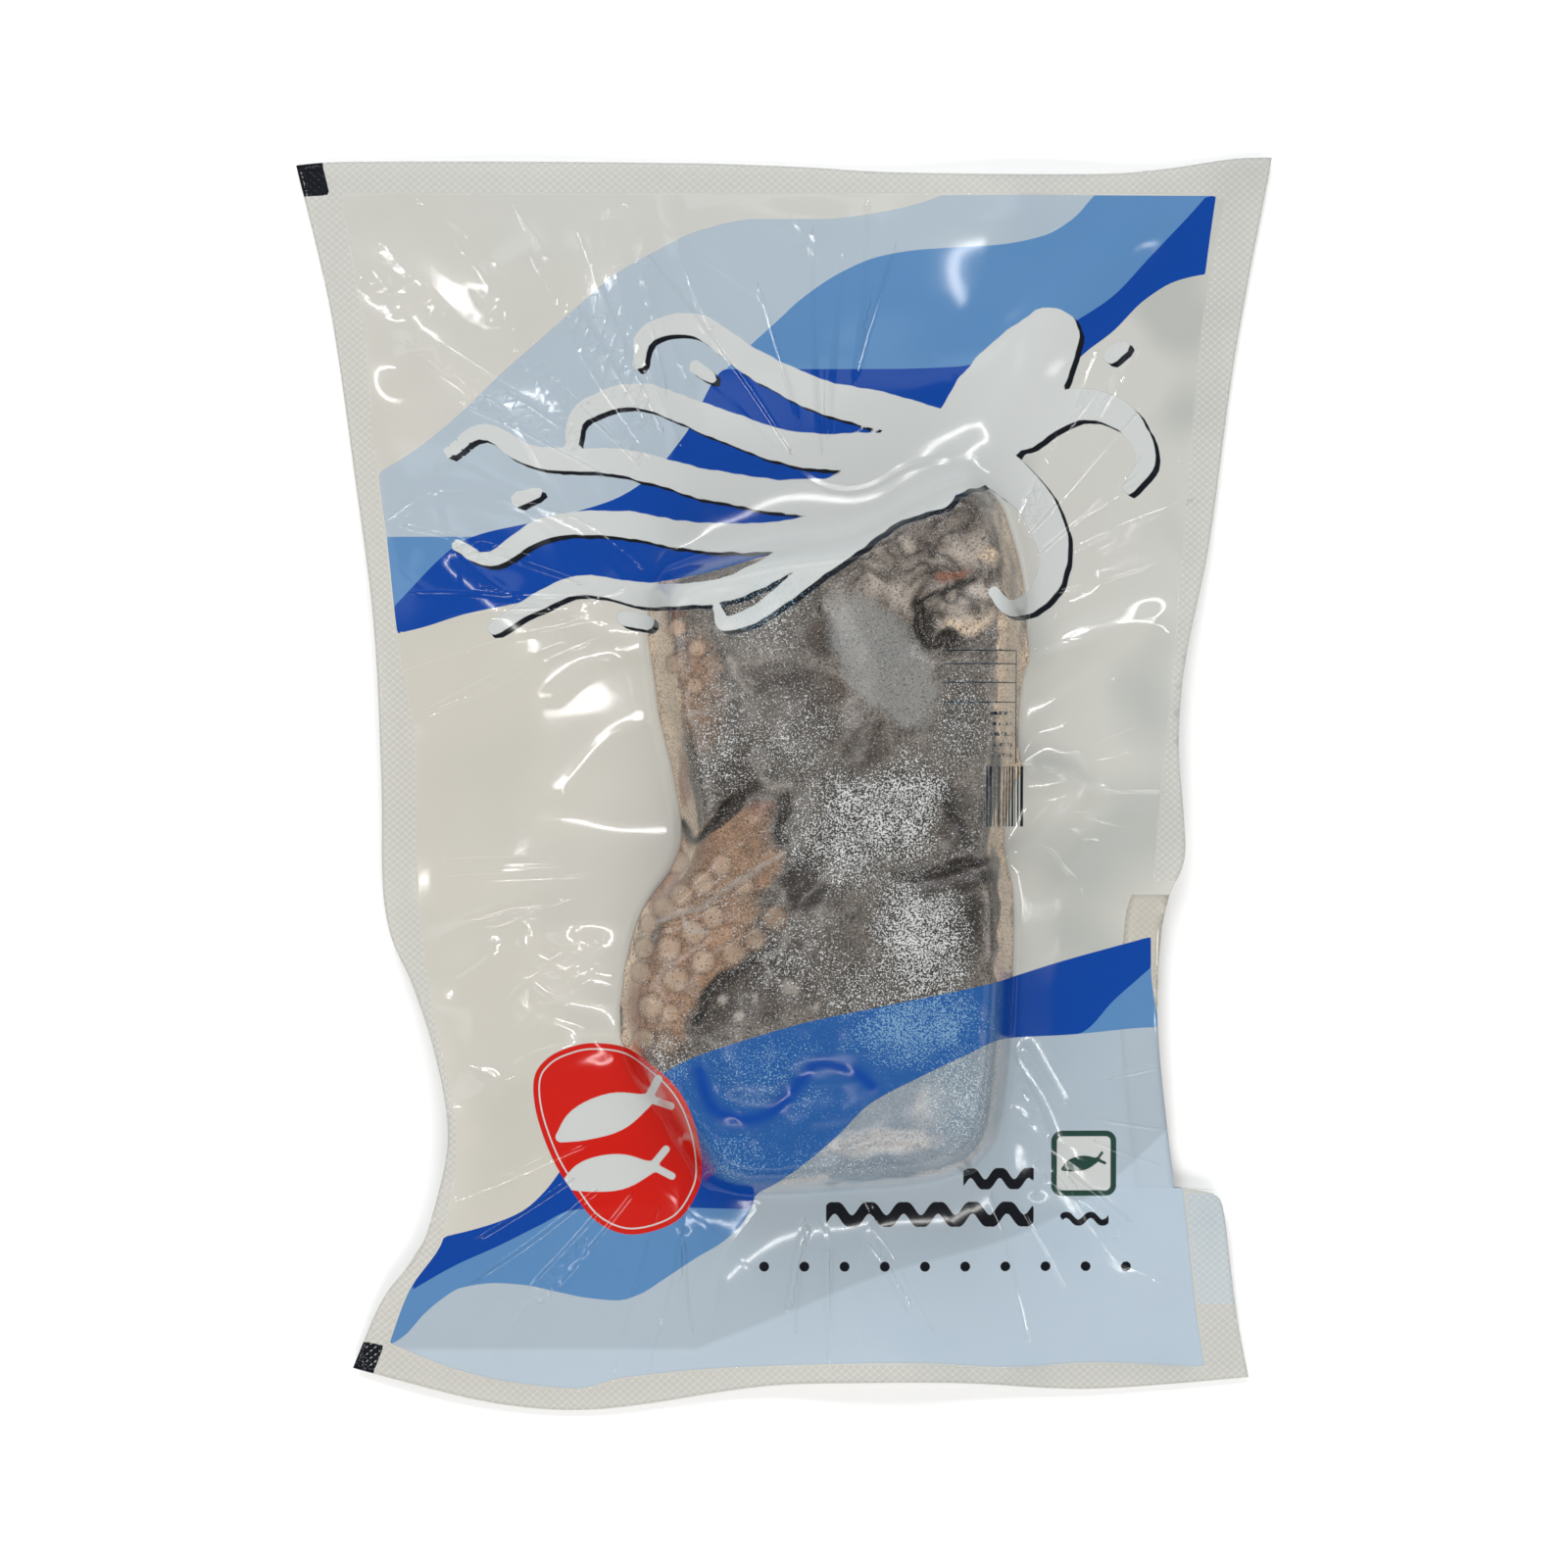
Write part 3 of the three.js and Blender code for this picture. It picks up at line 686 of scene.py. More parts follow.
def cad_face(facing):
    """The pouch's upper (1) or lower (-1) face as the solid has it, in quads."""
    bm = bm_from(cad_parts[POUCH_NODE].data)
    bmesh.ops.remove_doubles(bm, verts=bm.verts, dist=1e-6)
    bm.normal_update()
    others = [face for face in bm.faces if face.normal.z * facing < 0.03]
    bmesh.ops.delete(bm, geom=others, context="FACES")
    bmesh.ops.join_triangles(
        bm, faces=bm.faces, angle_face_threshold=math.pi, angle_shape_threshold=math.pi
    )
    return bm


def refined(bm, levels, name):
    """The mesh smoothed and divided this many times."""
    made = linked(name, mesh_from(bm, name))
    smoothing = made.modifiers.new("Smoothing", "SUBSURF")
    smoothing.levels = levels
    smoothing.render_levels = levels
    smoothing.boundary_smooth = "PRESERVE_CORNERS"
    graph = bpy.context.evaluated_depsgraph_get()
    mesh = bpy.data.meshes.new_from_object(made.evaluated_get(graph))
    bpy.data.objects.remove(made)
    return mesh


def tree_of(mesh):
    bm = bm_from(mesh)
    tree = BVHTree.FromBMesh(bm)
    bm.free()
    return tree


def height_under(tree, x, y, upwards):
    """Height in millimetres where a line straight up or down meets the surface, or of its nearest point."""
    start, way = (-1.0, 1.0) if upwards else (1.0, -1.0)
    found = np.empty(len(x))
    for i, (px, py) in enumerate(zip(x * MM, y * MM)):
        hit = tree.ray_cast(Vector((px, py, start)), Vector((0, 0, way)))[0]
        if hit is None:
            hit = tree.find_nearest(Vector((px, py, 0)))[0]
        found[i] = hit.z / MM
    return found


def edge_distance(mesh, x, y):
    """Distance from each vertex to the sheet's open edge."""
    bm = bm_from(mesh)
    rim = [v.co.to_2d().to_3d() for v in bm.verts if v.is_boundary]
    bm.free()
    tree = KDTree(len(rim))
    for i, place in enumerate(rim):
        tree.insert(place, i)
    tree.balance()
    return np.array([tree.find(Vector((px, py, 0)))[2] for px, py in zip(x * MM, y * MM)]) / MM


# -------------------------------------------------------------------------------- shader helpers


class Signal:
    """One output of a material's nodes. Arithmetic on it adds Math nodes."""

    def __init__(self, nodes, socket):
        self.nodes = nodes
        self.socket = socket

    def math(self, operation, *values):
        sockets = dict(enumerate(values))
        return self.nodes.node("ShaderNodeMath", {"operation": operation}, sockets)

    def __add__(self, other):
        return self.math("ADD", self, other)

    __radd__ = __add__

    def __sub__(self, other):
        return self.math("SUBTRACT", self, other)

    def __rsub__(self, other):
        return self.math("SUBTRACT", other, self)

    def __mul__(self, other):
        return self.math("MULTIPLY", self, other)

    __rmul__ = __mul__

    def __truediv__(self, other):
        return self.math("DIVIDE", self, other)

    def __abs__(self):
        return self.math("ABSOLUTE", self)

    def power(self, other):
        return self.math("POWER", self, other)

    def sine(self):
        return self.math("SINE", self)

    def wrapped(self, pitch):
        return self.math("WRAP", self, pitch, 0.0)

    def at_least(self, other):
        return self.math("MAXIMUM", self, other)

    def at_most(self, other):
        return self.math("MINIMUM", self, other)

    def limited(self):
        return self.at_least(0.0).at_most(1.0)

    def inside(self, softness):
        """1 where the field is positive and 0 where it is negative, with a soft edge this wide."""
        return (self / softness + 0.5).limited()


class Nodes:
    """A material's node tree, filled through one method."""

    def __init__(self, name):
        self.material = bpy.data.materials.new(name)
        self.material.use_nodes = True
        self.tree = self.material.node_tree
        self.tree.nodes.clear()

    def node(self, kind, settings=None, sockets=None, output=0):
        made = self.tree.nodes.new(kind)
        for name, value in (settings or {}).items():
            if name == "stops":
                self.set_stops(made.color_ramp, value)
            else:
                setattr(made, name, value)
        for name, value in (sockets or {}).items():
            socket = made.inputs[name]
            if isinstance(value, Signal):
                self.tree.links.new(value.socket, socket)
            else:
                socket.default_value = value
        return Signal(self, made.outputs[output]) if made.outputs else made

    @staticmethod
    def set_stops(ramp, stops):
        while len(ramp.elements) < len(stops):
            ramp.elements.new(0.5)
        for element, (position, colour) in zip(ramp.elements, stops):
            element.position = position
            element.color = colour

    def field(self, name):
        return self.node("ShaderNodeAttribute", {"attribute_name": name}, output="Fac")

    def place(self):
        return self.node("ShaderNodeTexCoord", output="Object")

    def axes(self):
        """Object x, y and z in millimetres."""
        split = self.node("ShaderNodeSeparateXYZ", sockets={0: self.place()})
        outputs = split.socket.node.outputs
        return [Signal(self, output) * 1000.0 for output in outputs]

    def drawn_out(self, stretch, turn):
        """Object coordinates that draw a pattern out to this many times its length, turned by degrees."""
        scale, rotation = (1, stretch, 1), (0, 0, math.radians(turn))
        sockets = {"Vector": self.place(), "Scale": scale, "Rotation": rotation}
        return self.node("ShaderNodeMapping", {"vector_type": "TEXTURE"}, sockets)

    def grain(self, size, detail=2.0, roughness=0.5, stretch=1.0, turn=0.0, distortion=0.0):
        """Noise from 0 to 1 with lumps of this many millimetres."""
        return self.node(
            "ShaderNodeTexNoise",
            sockets={
                "Vector": self.drawn_out(stretch, turn),
                "Scale": 1000.0 / size,
                "Detail": detail,
                "Roughness": roughness,
                "Distortion": distortion,
            },
        )

    def mix(self, factor, below, above):
        sockets = {0: factor, 6: below, 7: above}
        return self.node("ShaderNodeMix", {"data_type": "RGBA"}, sockets, output=2)

    def bump(self, height, distance, normal=None):
        sockets = {"Height": height, "Distance": distance * MM, "Strength": 1.0}
        if normal is not None:
            sockets["Normal"] = normal
        return self.node("ShaderNodeBump", sockets=sockets)

    def layered(self, colour, *layers):
        """The colour under further ones, each with its mask."""
        for mask, above in layers:
            colour = self.mix(mask, colour, above)
        return colour

    def surface(self, colour, roughness, normal=None, constants=None):
        sockets = {"Base Color": colour, "Roughness": roughness, **(constants or {})}
        if normal is not None:
            sockets["Normal"] = normal
        return self.node("ShaderNodeBsdfPrincipled", sockets=sockets)

    def blend(self, factor, first, second):
        """One shader over another."""
        return self.node("ShaderNodeMixShader", sockets={0: factor, 1: first, 2: second})

    def finish(self, surface):
        self.node("ShaderNodeOutputMaterial", sockets={"Surface": surface})
        return self.material


def ridge(signal, width):
    """A thin line where noise crosses its middle value."""
    return (1.0 - abs(signal - 0.5) / width).limited()


def rgba(colour, strength=1.0):
    """The colour, lighter or darker by this factor, with full alpha."""
    return (*[c * strength for c in colour], 1.0)


# -------------------------------------------------------------------------------- properties


def length(name, description, default, low, high):
    """A length, with its default and limits in millimetres."""
    return FloatProperty(
        name=name, description=description, default=default * MM, min=low * MM, max=high * MM,
        unit="LENGTH", precision=5,
    )


def colour_of(name, description, default):
    return FloatVectorProperty(
        name=name, description=description, default=default, subtype="COLOR", size=3, min=0, max=1,
    )


class PouchSettings(bpy.types.PropertyGroup):
    film_gap: length("Film gap", "Space between the front and the back film round the block", 0.4, 0.1, 1)
    rim_thickness: length("Rim thickness", "Thickness of the sealed rim", 0.14, 0.05, 1)
    film_clearance: length("Film over flesh", "How far the film lies above the frozen flesh", 0.45, 0.1, 1)
    film_colour: colour_of("Back film", "Colour of the milky back film", (0.500, 0.472, 0.411))
    pale_ink: colour_of("Pale ink", "Colour of the palest printed wave", (0.270, 0.346, 0.422))
    mid_ink: colour_of("Middle ink", "Colour of the middle printed wave", (0.063, 0.173, 0.353))
    deep_ink: colour_of("Deep ink", "Colour of the darkest printed wave", (0.0, 0.039, 0.246))
    white_ink: colour_of("White ink", "Colour of the white brush picture", (0.44, 0.455, 0.447))
    black_ink: colour_of("Black ink", "Colour of the dark print", (0.004, 0.005, 0.008))
    red_ink: colour_of("Red ink", "Colour of the stamp", (0.44, 0.006, 0.002))
    green_ink: colour_of("Green ink", "Colour of the badge", (0.006, 0.035, 0.026))


class BlockSettings(bpy.types.PropertyGroup):
    cell: length("Detail size", "Distance between the block's mesh points", 0.6, 0.4, 3)
    grey_flesh: colour_of("Grey flesh", "Colour of most of the frozen flesh", (0.128, 0.112, 0.096))
    warm_flesh: colour_of("Warm flesh", "Colour of the arms", (0.270, 0.160, 0.096))
    pale_flesh: colour_of("Pale flesh", "Colour of the thin skin at the edges", (0.62, 0.485, 0.35))
    frost_grains: IntProperty(
        name="Frost grains", description="How many places on the block are tried for an ice grain",
        default=7000, min=0, max=12000,
    )
    grain_size: length("Grain size", "Radius of an ice grain", 0.20, 0.1, 1)


class StageSettings(bpy.types.PropertyGroup):
    frame_width: length(
        "Frame width", "Width of the picture where the pack lies", FRAME_PIXELS / PIXELS_PER_MM, 100, 2000
    )
    camera_height: length("Camera height", "Height of the camera over the pack", 2500, 300, 10000)
    floor_colour: colour_of("Floor", "Colour of the floor", (0.90, 0.90, 0.90))


class PackSettings(bpy.types.PropertyGroup):
    pouch: PointerProperty(type=PouchSettings)
    block: PointerProperty(type=BlockSettings)
    stage: PointerProperty(type=StageSettings)


# ------------------------------------------------------------------------------- materials


def printed_film(look):
    """Clear glossy film with waves, stamp and picture in ink, duller where it touches the frozen flesh."""
    n = Nodes("Printed_film")
    x, y, _ = n.axes()
    touch = n.field("touch").limited()
    light = n.field("light").inside(1.2)
    pale = n.field("pale").inside(0.12)
    mid = n.field("mid").inside(0.12)
    deep = n.field("deep").inside(0.12)
    shade = n.field("shade").inside(0.16)
    picture = n.field("picture").inside(0.2)
    stamp_depth = n.field("stamp")
    stamp = stamp_depth.inside(0.15)
    ring = (STAMP_RING_WIDTH / 2 - abs(stamp_depth - STAMP_RING_INSET)).inside(0.12)
    stamp_fish = n.field("stamp_fish").inside(0.15)
    badge_depth = n.field("badge")
    badge = badge_depth.inside(0.12)
    badge_field = (badge_depth - BADGE_BORDER).inside(0.12)
    badge_fish = n.field("badge_fish").inside(0.15)
    dark = n.field("dark_print").inside(0.12).at_least(panel_print(n, x, y))
    flap = (x - FLAP_LEFT).at_most(FLAP_TOP - y).at_most(y - FLAP_FOOT).inside(0.3)

    ink = (pale * (0.75 - touch * 0.27)).at_least(mid * 0.96).at_least(deep * (0.995 - touch * 0.05))
    ink = ink.at_least(shade).at_least(picture * 0.98).at_least(stamp * 0.99)
    ink = ink.at_least(badge * 0.98).at_least(dark)
    inked = (ink * 5.0).limited()
    seal = n.field("rim").inside(0.5)
    rim = seal * (1.0 - inked)

    # Frost under the ink shows as grains of a lighter tint. The sealed rim has embossed diamonds, with
    # painted light on their raised lines and painted shade in the hollows.
    salt = frost_grain(n, n.field("frost"))
    lines = diamonds(x, y)
    flap_colour = n.mix(lines, FLAP_HOLLOW_SHADE, FLAP_RAISED_LIGHT)
    rim_colour = n.mix(flap * 0.75, n.mix(lines, SEAL_HOLLOW_SHADE, SEAL_RAISED_LIGHT), flap_colour)
    white, green, black = rgba(look.white_ink), rgba(look.green_ink), rgba(look.black_ink)
    colour = n.layered(
        rgba(look.pale_ink),
        (light, rgba(look.pale_ink, 1.22)),
        (mid, rgba(look.mid_ink)),
        (deep, rgba(look.deep_ink)),
        (touch * mid * 0.6, BLUE_ON_FLESH),
        (shade, black),
        (picture, white),
        (stamp, rgba(look.red_ink)),
        (stamp * touch * 0.30, RED_ON_FLESH),
        (stamp_fish.at_least(ring) * stamp, white),
        (badge, green),
        (badge_field, white),
        (badge_fish * badge_field, green),
        (dark, black),
        (salt * touch * 0.6, FROSTED_INK),
        (1.0 - inked, CLEAR_TINT),
        (rim, rim_colour),
    )
    covered = ink.at_least(0.035 - touch * 0.030 + rim * 0.60)

    # Drawn film: long pulls, fine creases and a soft waviness.
    crinkle = n.field("crinkle").limited()
    pulls = ridge(n.grain(30.0, 0.0, 0.3, stretch=3.0, turn=35), 0.016)
    fold = (1.0 - abs(n.field("fold")) / 1.1).limited().power(2.0)
    normal = n.bump(lines * seal, 0.08)
    normal = n.bump(n.grain(30.0, 0.0), 0.45, normal)
    normal = n.bump(pulls * crinkle * 0.6 + fold * n.field("fold_depth"), 0.22, normal)

    gloss = 0.10 + rim * 0.14 + touch * 0.16
    printed = n.surface(colour, gloss, normal, {"IOR": 1.5})
    tilt = n.node("ShaderNodeLayerWeight", sockets={"Blend": 0.5, "Normal": normal}, output="Facing")
    open_film = n.node("ShaderNodeBsdfTransparent")
    sockets = {"Color": (1, 1, 1, 1), "Roughness": gloss, "Normal": normal}
    mirror = n.node("ShaderNodeBsdfGlossy", sockets=sockets)
    clear = n.blend(0.05 + 0.95 * tilt.power(5.0), open_film, mirror)
    return n.finish(n.blend(covered, clear, printed))


def frost_grain(n, frost):
    """Short pale grains that close up as the frost field rises."""
    fine = n.grain(0.40, 1.0, 0.6)
    clumps = n.grain(6.0, 2.0, 0.6)
    amount = frost * (0.55 + clumps * 0.8)
    return (fine + amount * 0.23 - 0.705).inside(0.07) * (amount * 3.0).limited()


def panel_print(n, x, y):
    """Ruled panel, rows of plain marks and upright bars in thin dark ink, at the block's right edge."""
    across = (PANEL_RIGHT - x).at_most(x - PANEL_LEFT)
    rules = (0.14 - abs(x - PANEL_RIGHT)).at_most((PANEL_TOP - y).at_most(y - PANEL_FOOT)).inside(0.08)
    for height in PANEL_RULES:
        rules = rules.at_least((0.16 - abs(y - height)).at_most(across).inside(0.08))
    rows = (0.42 - abs((y - 0.6).wrapped(2.35) - 1.2)).inside(0.1)
    marks = rows * (n.grain(1.1, 0.0) - 0.5).inside(0.08)
    figure_field = (51.4 - x).at_most(x - 46.2).at_most(17.6 - y).at_most(y - 5.6)
    figures = marks * figure_field.inside(0.1)
    sockets = {"W": x * 1.5, "Scale": 1.0, "Detail": 0.0}
    code = n.node("ShaderNodeTexNoise", {"noise_dimensions": "1D"}, sockets)
    bar_field = (54.2 - x).at_most(x - 44.0).at_most(4.0 - y).at_most(y + 9.6)
    bars = (code - 0.5).inside(0.05) * bar_field.inside(0.1)
    return rules.at_least(figures).at_least(bars)


def milky_film(look):
    """Back film: translucent and faintly warm at the left, cooler at the right, with painted shade in darker
    patches that grow towards the right.
    """
    n = Nodes("Milky_film")
    x, y, _ = n.axes()
    sideways = ((x + 20.0) / 150.0 + 0.5 + (y - 30.0).at_least(0.0) / 130.0).limited()
    cloud = n.grain(60.0, 2.0)
    red, green, blue = look.film_colour
    # painted shade: darker cloudy patches, stronger towards the right, standing in for the shading of the
    # film
    shade = ((n.grain(26.0, 1.0) - 0.49) * 6.0).limited() * (0.10 + (x / 60.0).limited() * 0.50)
    colour = n.layered(
        rgba(look.film_colour),
        (sideways, rgba((red * 0.96, green * 1.02, blue * 1.10))),
        (cloud * 0.35, rgba(look.film_colour, 0.9)),
        (shade, rgba((red * 0.60, green * 0.68, blue * 0.74))),
    )
    return n.finish(n.surface(colour, 0.32, n.bump(n.grain(14.0, 2.0), 0.2), {"Alpha": 0.86}))


def sealed_film(look):
    """Both films welded together and embossed with diamonds, with painted light on the raised lines and
    painted shade in the hollows.
    """
    n = Nodes("Sealed_film")
    x, y, _ = n.axes()
    lines = diamonds(x, y)
    # painted light and shade: the embossing's raised lines are lighter and its hollows darker
    colour = n.mix(lines, rgba(look.film_colour, 0.86), rgba(look.film_colour, 1.1))
    return n.finish(n.surface(colour, 0.25, n.bump(lines, 0.12), {"Alpha": 0.9}))


def diamonds(x, y):
    """Fine crossed lines of the sealing jaws, strongest where they cross and 0 between them."""
    first = abs(((x * HATCH_SLOPE + y) * (math.pi / HATCH_PITCH)).sine())
    second = abs(((x * HATCH_SLOPE - y) * (math.pi / HATCH_PITCH)).sine())
    lines = (1.0 - first.at_most(second) * 2.2).limited()
    crossings = (1.0 - first.at_least(second) * 1.5).limited()
    return lines * 0.45 + crossings * 0.55


def frozen_flesh(look):
    """Frozen octopus: grey mantle, warm arms with pale suckers, marbled skin and salt-like frost, with
    painted shade in its furrows and beside its folds.
    """
    n = Nodes("Frozen_flesh")
    broad = n.grain(9.0, 4.0, 0.62)
    blotch = n.grain(2.8, 3.0, 0.6)
    fine = n.grain(0.55, 2.0, 0.6)
    mottle = ((broad * 0.42 + blotch * 0.33 + fine * 0.25 - 0.5) * 3.6 + 0.5).limited()

    def patch(name):
        """A field with its edge worn by the grain of the flesh."""
        field = n.field(name)
        return (field * 3.0 - 1.0 + (blotch - 0.5) * 2.0 * field.at_most(1.0)).limited()

    def mottled(colour, low=0.35, high=1.65):
        return n.mix(mottle, rgba(colour, low), rgba(colour, high))

    warm, smooth_skin = patch("warm"), patch("smooth_skin")
    marble = ridge(n.grain(14.0, 2.0, 0.5, distortion=0.8), 0.16)
    vein = (marble * 0.8 + mottle * 0.35 - 0.05).limited()
    grit = ((0.49 - fine) * 5.5).limited() * (0.8 - warm * 0.35 - smooth_skin * 0.5)
    frost = n.field("frost")
    salt = frost_grain(n, frost)
    pepper = (frost * 1.2 + (blotch - 0.5) * 1.6 * frost).limited()
    specks = (n.grain(0.34, 0.0) - 0.70).inside(0.05)
    pores = (0.30 - n.grain(0.45, 0.0)).inside(0.05)
    colour = n.layered(
        mottled(look.grey_flesh),
        (warm, mottled(look.warm_flesh, 0.5, 1.4)),
        (patch("pale_skin"), mottled(look.pale_flesh, 0.6, 1.15)),
        (patch("marbled"), n.mix(vein, PALE_MARBLE, DARK_MARBLE)),
        (patch("brown") * 0.9, mottled(BROWN_SKIN, 0.5, 1.6)),
        (patch("red") * 0.8, mottled(RED_SKIN, 0.6, 1.3)),
        # painted shade beside furrows and folds and under the curled ridge, with some darker skin
        (patch("dark_skin") * 0.95, mottled(DARK_SKIN_AND_SHADE, 0.4, 1.8)),
        (smooth_skin * 0.8, SMOOTH_SKIN),
        (grit.limited(), GRIT),
        (n.field("sucker_edge") * 0.75, SUCKER_EDGE),
        ((n.field("sucker") * (0.60 + fine * 0.7)).limited(), SUCKER_FACE),
        # painted shade: near-black colour along the furrows
        ((n.field("furrow") * (0.7 + blotch * 0.9)).limited(), FURROW_SHADE),
        ((n.field("thread") * (0.45 + fine * 0.6)).limited(), THREAD_PALE),
        (pepper * 0.85, mottled(PEPPER, 0.5, 1.8)),
        (salt * 0.95, n.mix(blotch, DULL_FROST, BRIGHT_FROST)),
        (specks * 0.6, SPECK),
        (pores * 0.6, PORE),
    )
    normal = n.bump(broad * 0.6 + blotch * 0.5, 0.5)
    normal = n.bump(fine + salt, 0.12, normal)
    return n.finish(n.surface(colour, 0.45 + blotch * 0.3, normal, {"Specular IOR Level": 0.15}))


def ice_grain():
    """Rough white ice."""
    n = Nodes("Ice_grain")
    colour = n.mix(n.grain(3.0, 2.0), DULL_ICE, BRIGHT_ICE)
    return n.finish(n.surface(colour, 0.35, n.bump(n.grain(0.3, 1.0), 0.05)))


def floor_finish(colour):
    n = Nodes("Pale_floor")
    tone = n.mix(n.grain(40.0, 2.0), rgba(colour), rgba(colour, 0.985))
    return n.finish(n.surface(tone, 0.6))


# ---------------------------------------------------------------------------------- shapes


def wandering(x, y, reach=1.3):
    """Places moved a little, so that patches drawn on them get natural edges."""
    return x + reach * ripple(x, y, 5.0, 31.0), y + reach * ripple(x, y, 5.0, 47.0)


def flesh_relief(x, y):
    """Small relief of the frozen flesh, which the drawn film follows."""
    relief = crease_height(x, y, FLESH_RIDGES) - crease_height(x, y, FLESH_FURROWS)
    for px, py, radius in SUCKERS:
        away = np.hypot(x - px, y - py) / radius
        relief += 0.12 * disc(away) - 0.06 * bell(away, 0.38)
    relief += 0.42 * ripple(x, y, 8.0, 3.0) + 0.17 * ripple(x, y, 3.2, 7.0)
    calm = patch_field(x, y, SMOOTH_PATCHES)
    return relief * (1 - 0.6 * calm)


def print_sides(x, y):
    """How far each place is inside the left and the right side of the print."""
    return overlap(x - curve_at(PRINT_LEFT, y), curve_at(PRINT_RIGHT, y) - x)


def print_fields(x, y):
    """Every printed colour field, as a depth inside its edge at each place."""
    sides = print_sides(x, y)
    upper = overlap(sides, PRINT_TOP - y, y - curve_at(UPPER_WAVE_FOOT, x))
    lower = overlap(sides, y - curve_at(PRINT_FOOT, x))
    crest = curve_at(LOWER_DEEP_EDGE, x) - y

    def waves(upper_edge, *lower_foot):
        """One ink's wave at the top of the print and its wave at the foot."""
        feet = [y - curve_at(foot, x) for foot in lower_foot]
        return union([overlap(upper, curve_at(upper_edge, x) - y), overlap(lower, crest, *feet)])

    bx, by = np.abs(x - BADGE_CENTRE[0]), np.abs(y - BADGE_CENTRE[1])
    core = BADGE_HALF_WIDTH - BADGE_CORNER
    badge_edge = np.hypot(np.maximum(bx - core, 0), np.maximum(by - core, 0))
    flat_edge = np.minimum(np.maximum(bx, by) - core, 0)
    return {
        "pale": waves(UPPER_PALE_EDGE),
        "light": overlap(lower, curve_at(LOWER_LIGHT_EDGE, x) - y),
        "mid": waves(UPPER_MID_EDGE, LOWER_MID_FOOT),
        "deep": waves(UPPER_DEEP_EDGE, LOWER_DEEP_FOOT),
        "picture": picture_field(x, y),
        "shade": picture_field(x - SHADE_SHIFT[0], y - SHADE_SHIFT[1]),
        "stamp": outline_field(x, y, spline(STAMP_OUTLINE, closed=True)),
        "stamp_fish": fish_field(x, y, STAMP_FISH),
        "badge": BADGE_CORNER - badge_edge - flat_edge,
        "badge_fish": fish_field(x, y, BADGE_FISH),
        "dark_print": union([*ornament_fields(x, y), *corner_fields(x, y)]),
    }


def fish_field(x, y, shoal):
    """Depth inside the small fish, each given by its centre, half length and turn."""
    strokes = [s for centre, size, turn in shoal for s in turned(FISH_STROKES, centre, size, turn)]
    return union(stroke_field(x, y, s) for s in strokes)


def picture_field(x, y):
    """Depth inside the white brush strokes, with the uneven edge of a brush."""
    uneven = 0.32 * ripple(x, y, 2.6, 11.0) + 0.30 * ripple(x, y, 6.0, 13.0)
    return union(stroke_field(x, y, s) for s in OCTOPUS_STROKES) + uneven


def ornament_fields(x, y):
    """Wavy rules and a row of dots."""
    fields = []
    for (left, level), length, height, wavelength, half_width in WAVY_RULES:
        turns = (x - left) * (2 * math.pi / wavelength)
        slope = height * 2 * math.pi / wavelength * np.cos(turns)
        off = np.abs(y - level - height * np.sin(turns)) / np.hypot(1, slope)
        fields.append(overlap(half_width - off, x - left, left + length - x))
    (first, level), pitch, count, radius = DOT_ROW
    for i in range(count):
        fields.append(radius - np.hypot(x - first - i * pitch, y - level))
    return fields


def corner_fields(x, y):
    return [outline_field(x, y, np.array(mark, float)) for mark in CORNER_MARKS]


def gap_between(look, rim):
    """Space between the two films, where rim is 1 at the seal and 0 inside it."""
    return look.film_gap / MM * (1 - rim) + look.rim_thickness / MM * rim


def film_height(x, y, z, to_edge):
    """Height of the front film: the solid's upper face, brought nearer to the back film and creased."""
    look = bpy.context.scene.octopus_pack.pouch
    cover = np.clip((z - SEAM_HEIGHT) / (BLOCK_HEIGHT - 4 - SEAM_HEIGHT), 0, 1)
    rim = np.clip((RIM_WIDTH + 2 - to_edge) / 4, 0, 1)
    gap = gap_between(look, rim)
    free = (1 - cover) * (1 - 0.75 * rim)
    soft_creases = [(path, height * 0.7, width * 1.6) for path, height, width in FILM_CREASES]
    crinkled = crease_height(x, y, soft_creases) + 0.28 * ripple(x, y, 16.0, 21.0)
    for (px, py), height, radius in FILM_BLISTERS:
        crinkled += height * bell(np.hypot(x - px, y - py), radius)
    return z - (1 - gap) / 2 * (1 - cover) + cover * flesh_relief(x, y) + free * crinkled, gap


def needs_detail(x, y):
    """Whether the film's mesh is finer here: under the small print and at furrows and ridges."""
    found = np.zeros(np.shape(x), bool)
    for left, foot, right, top in SMALL_PRINT:
        found |= (x > left) & (x < right) & (y > foot) & (y < top)
    for path, _, width in FLESH_FURROWS + FLESH_RIDGES:
        found |= path_distance(x, y, spline(path)) < width + DETAIL_MARGIN
    return found


def fine_creases():
    """Long thin creases that fan out where the film is drawn from the block to the seal."""
    draw = random.Random(11)
    found = []
    for (px, py), near, far, first, last, count in CREASE_FANS:
        for i in range(count):
            way = math.radians(first + (last - first) * (i + draw.uniform(0.2, 0.8)) / count)
            start = near + (far - near) * draw.uniform(0, 0.35)
            end = far - (far - near) * draw.uniform(0, 0.4)
            bend = draw.uniform(-0.16, 0.16)
            reach = [start + (end - start) * t for t in (0, 0.35, 0.7, 1)]
            ways = [way + bend * r / far for r in reach]
            path = [(px + r * math.cos(a), py + r * math.sin(a)) for r, a in zip(reach, ways)]
            found.append((path, draw.uniform(0.5, 1.2), 0.6))
    return found


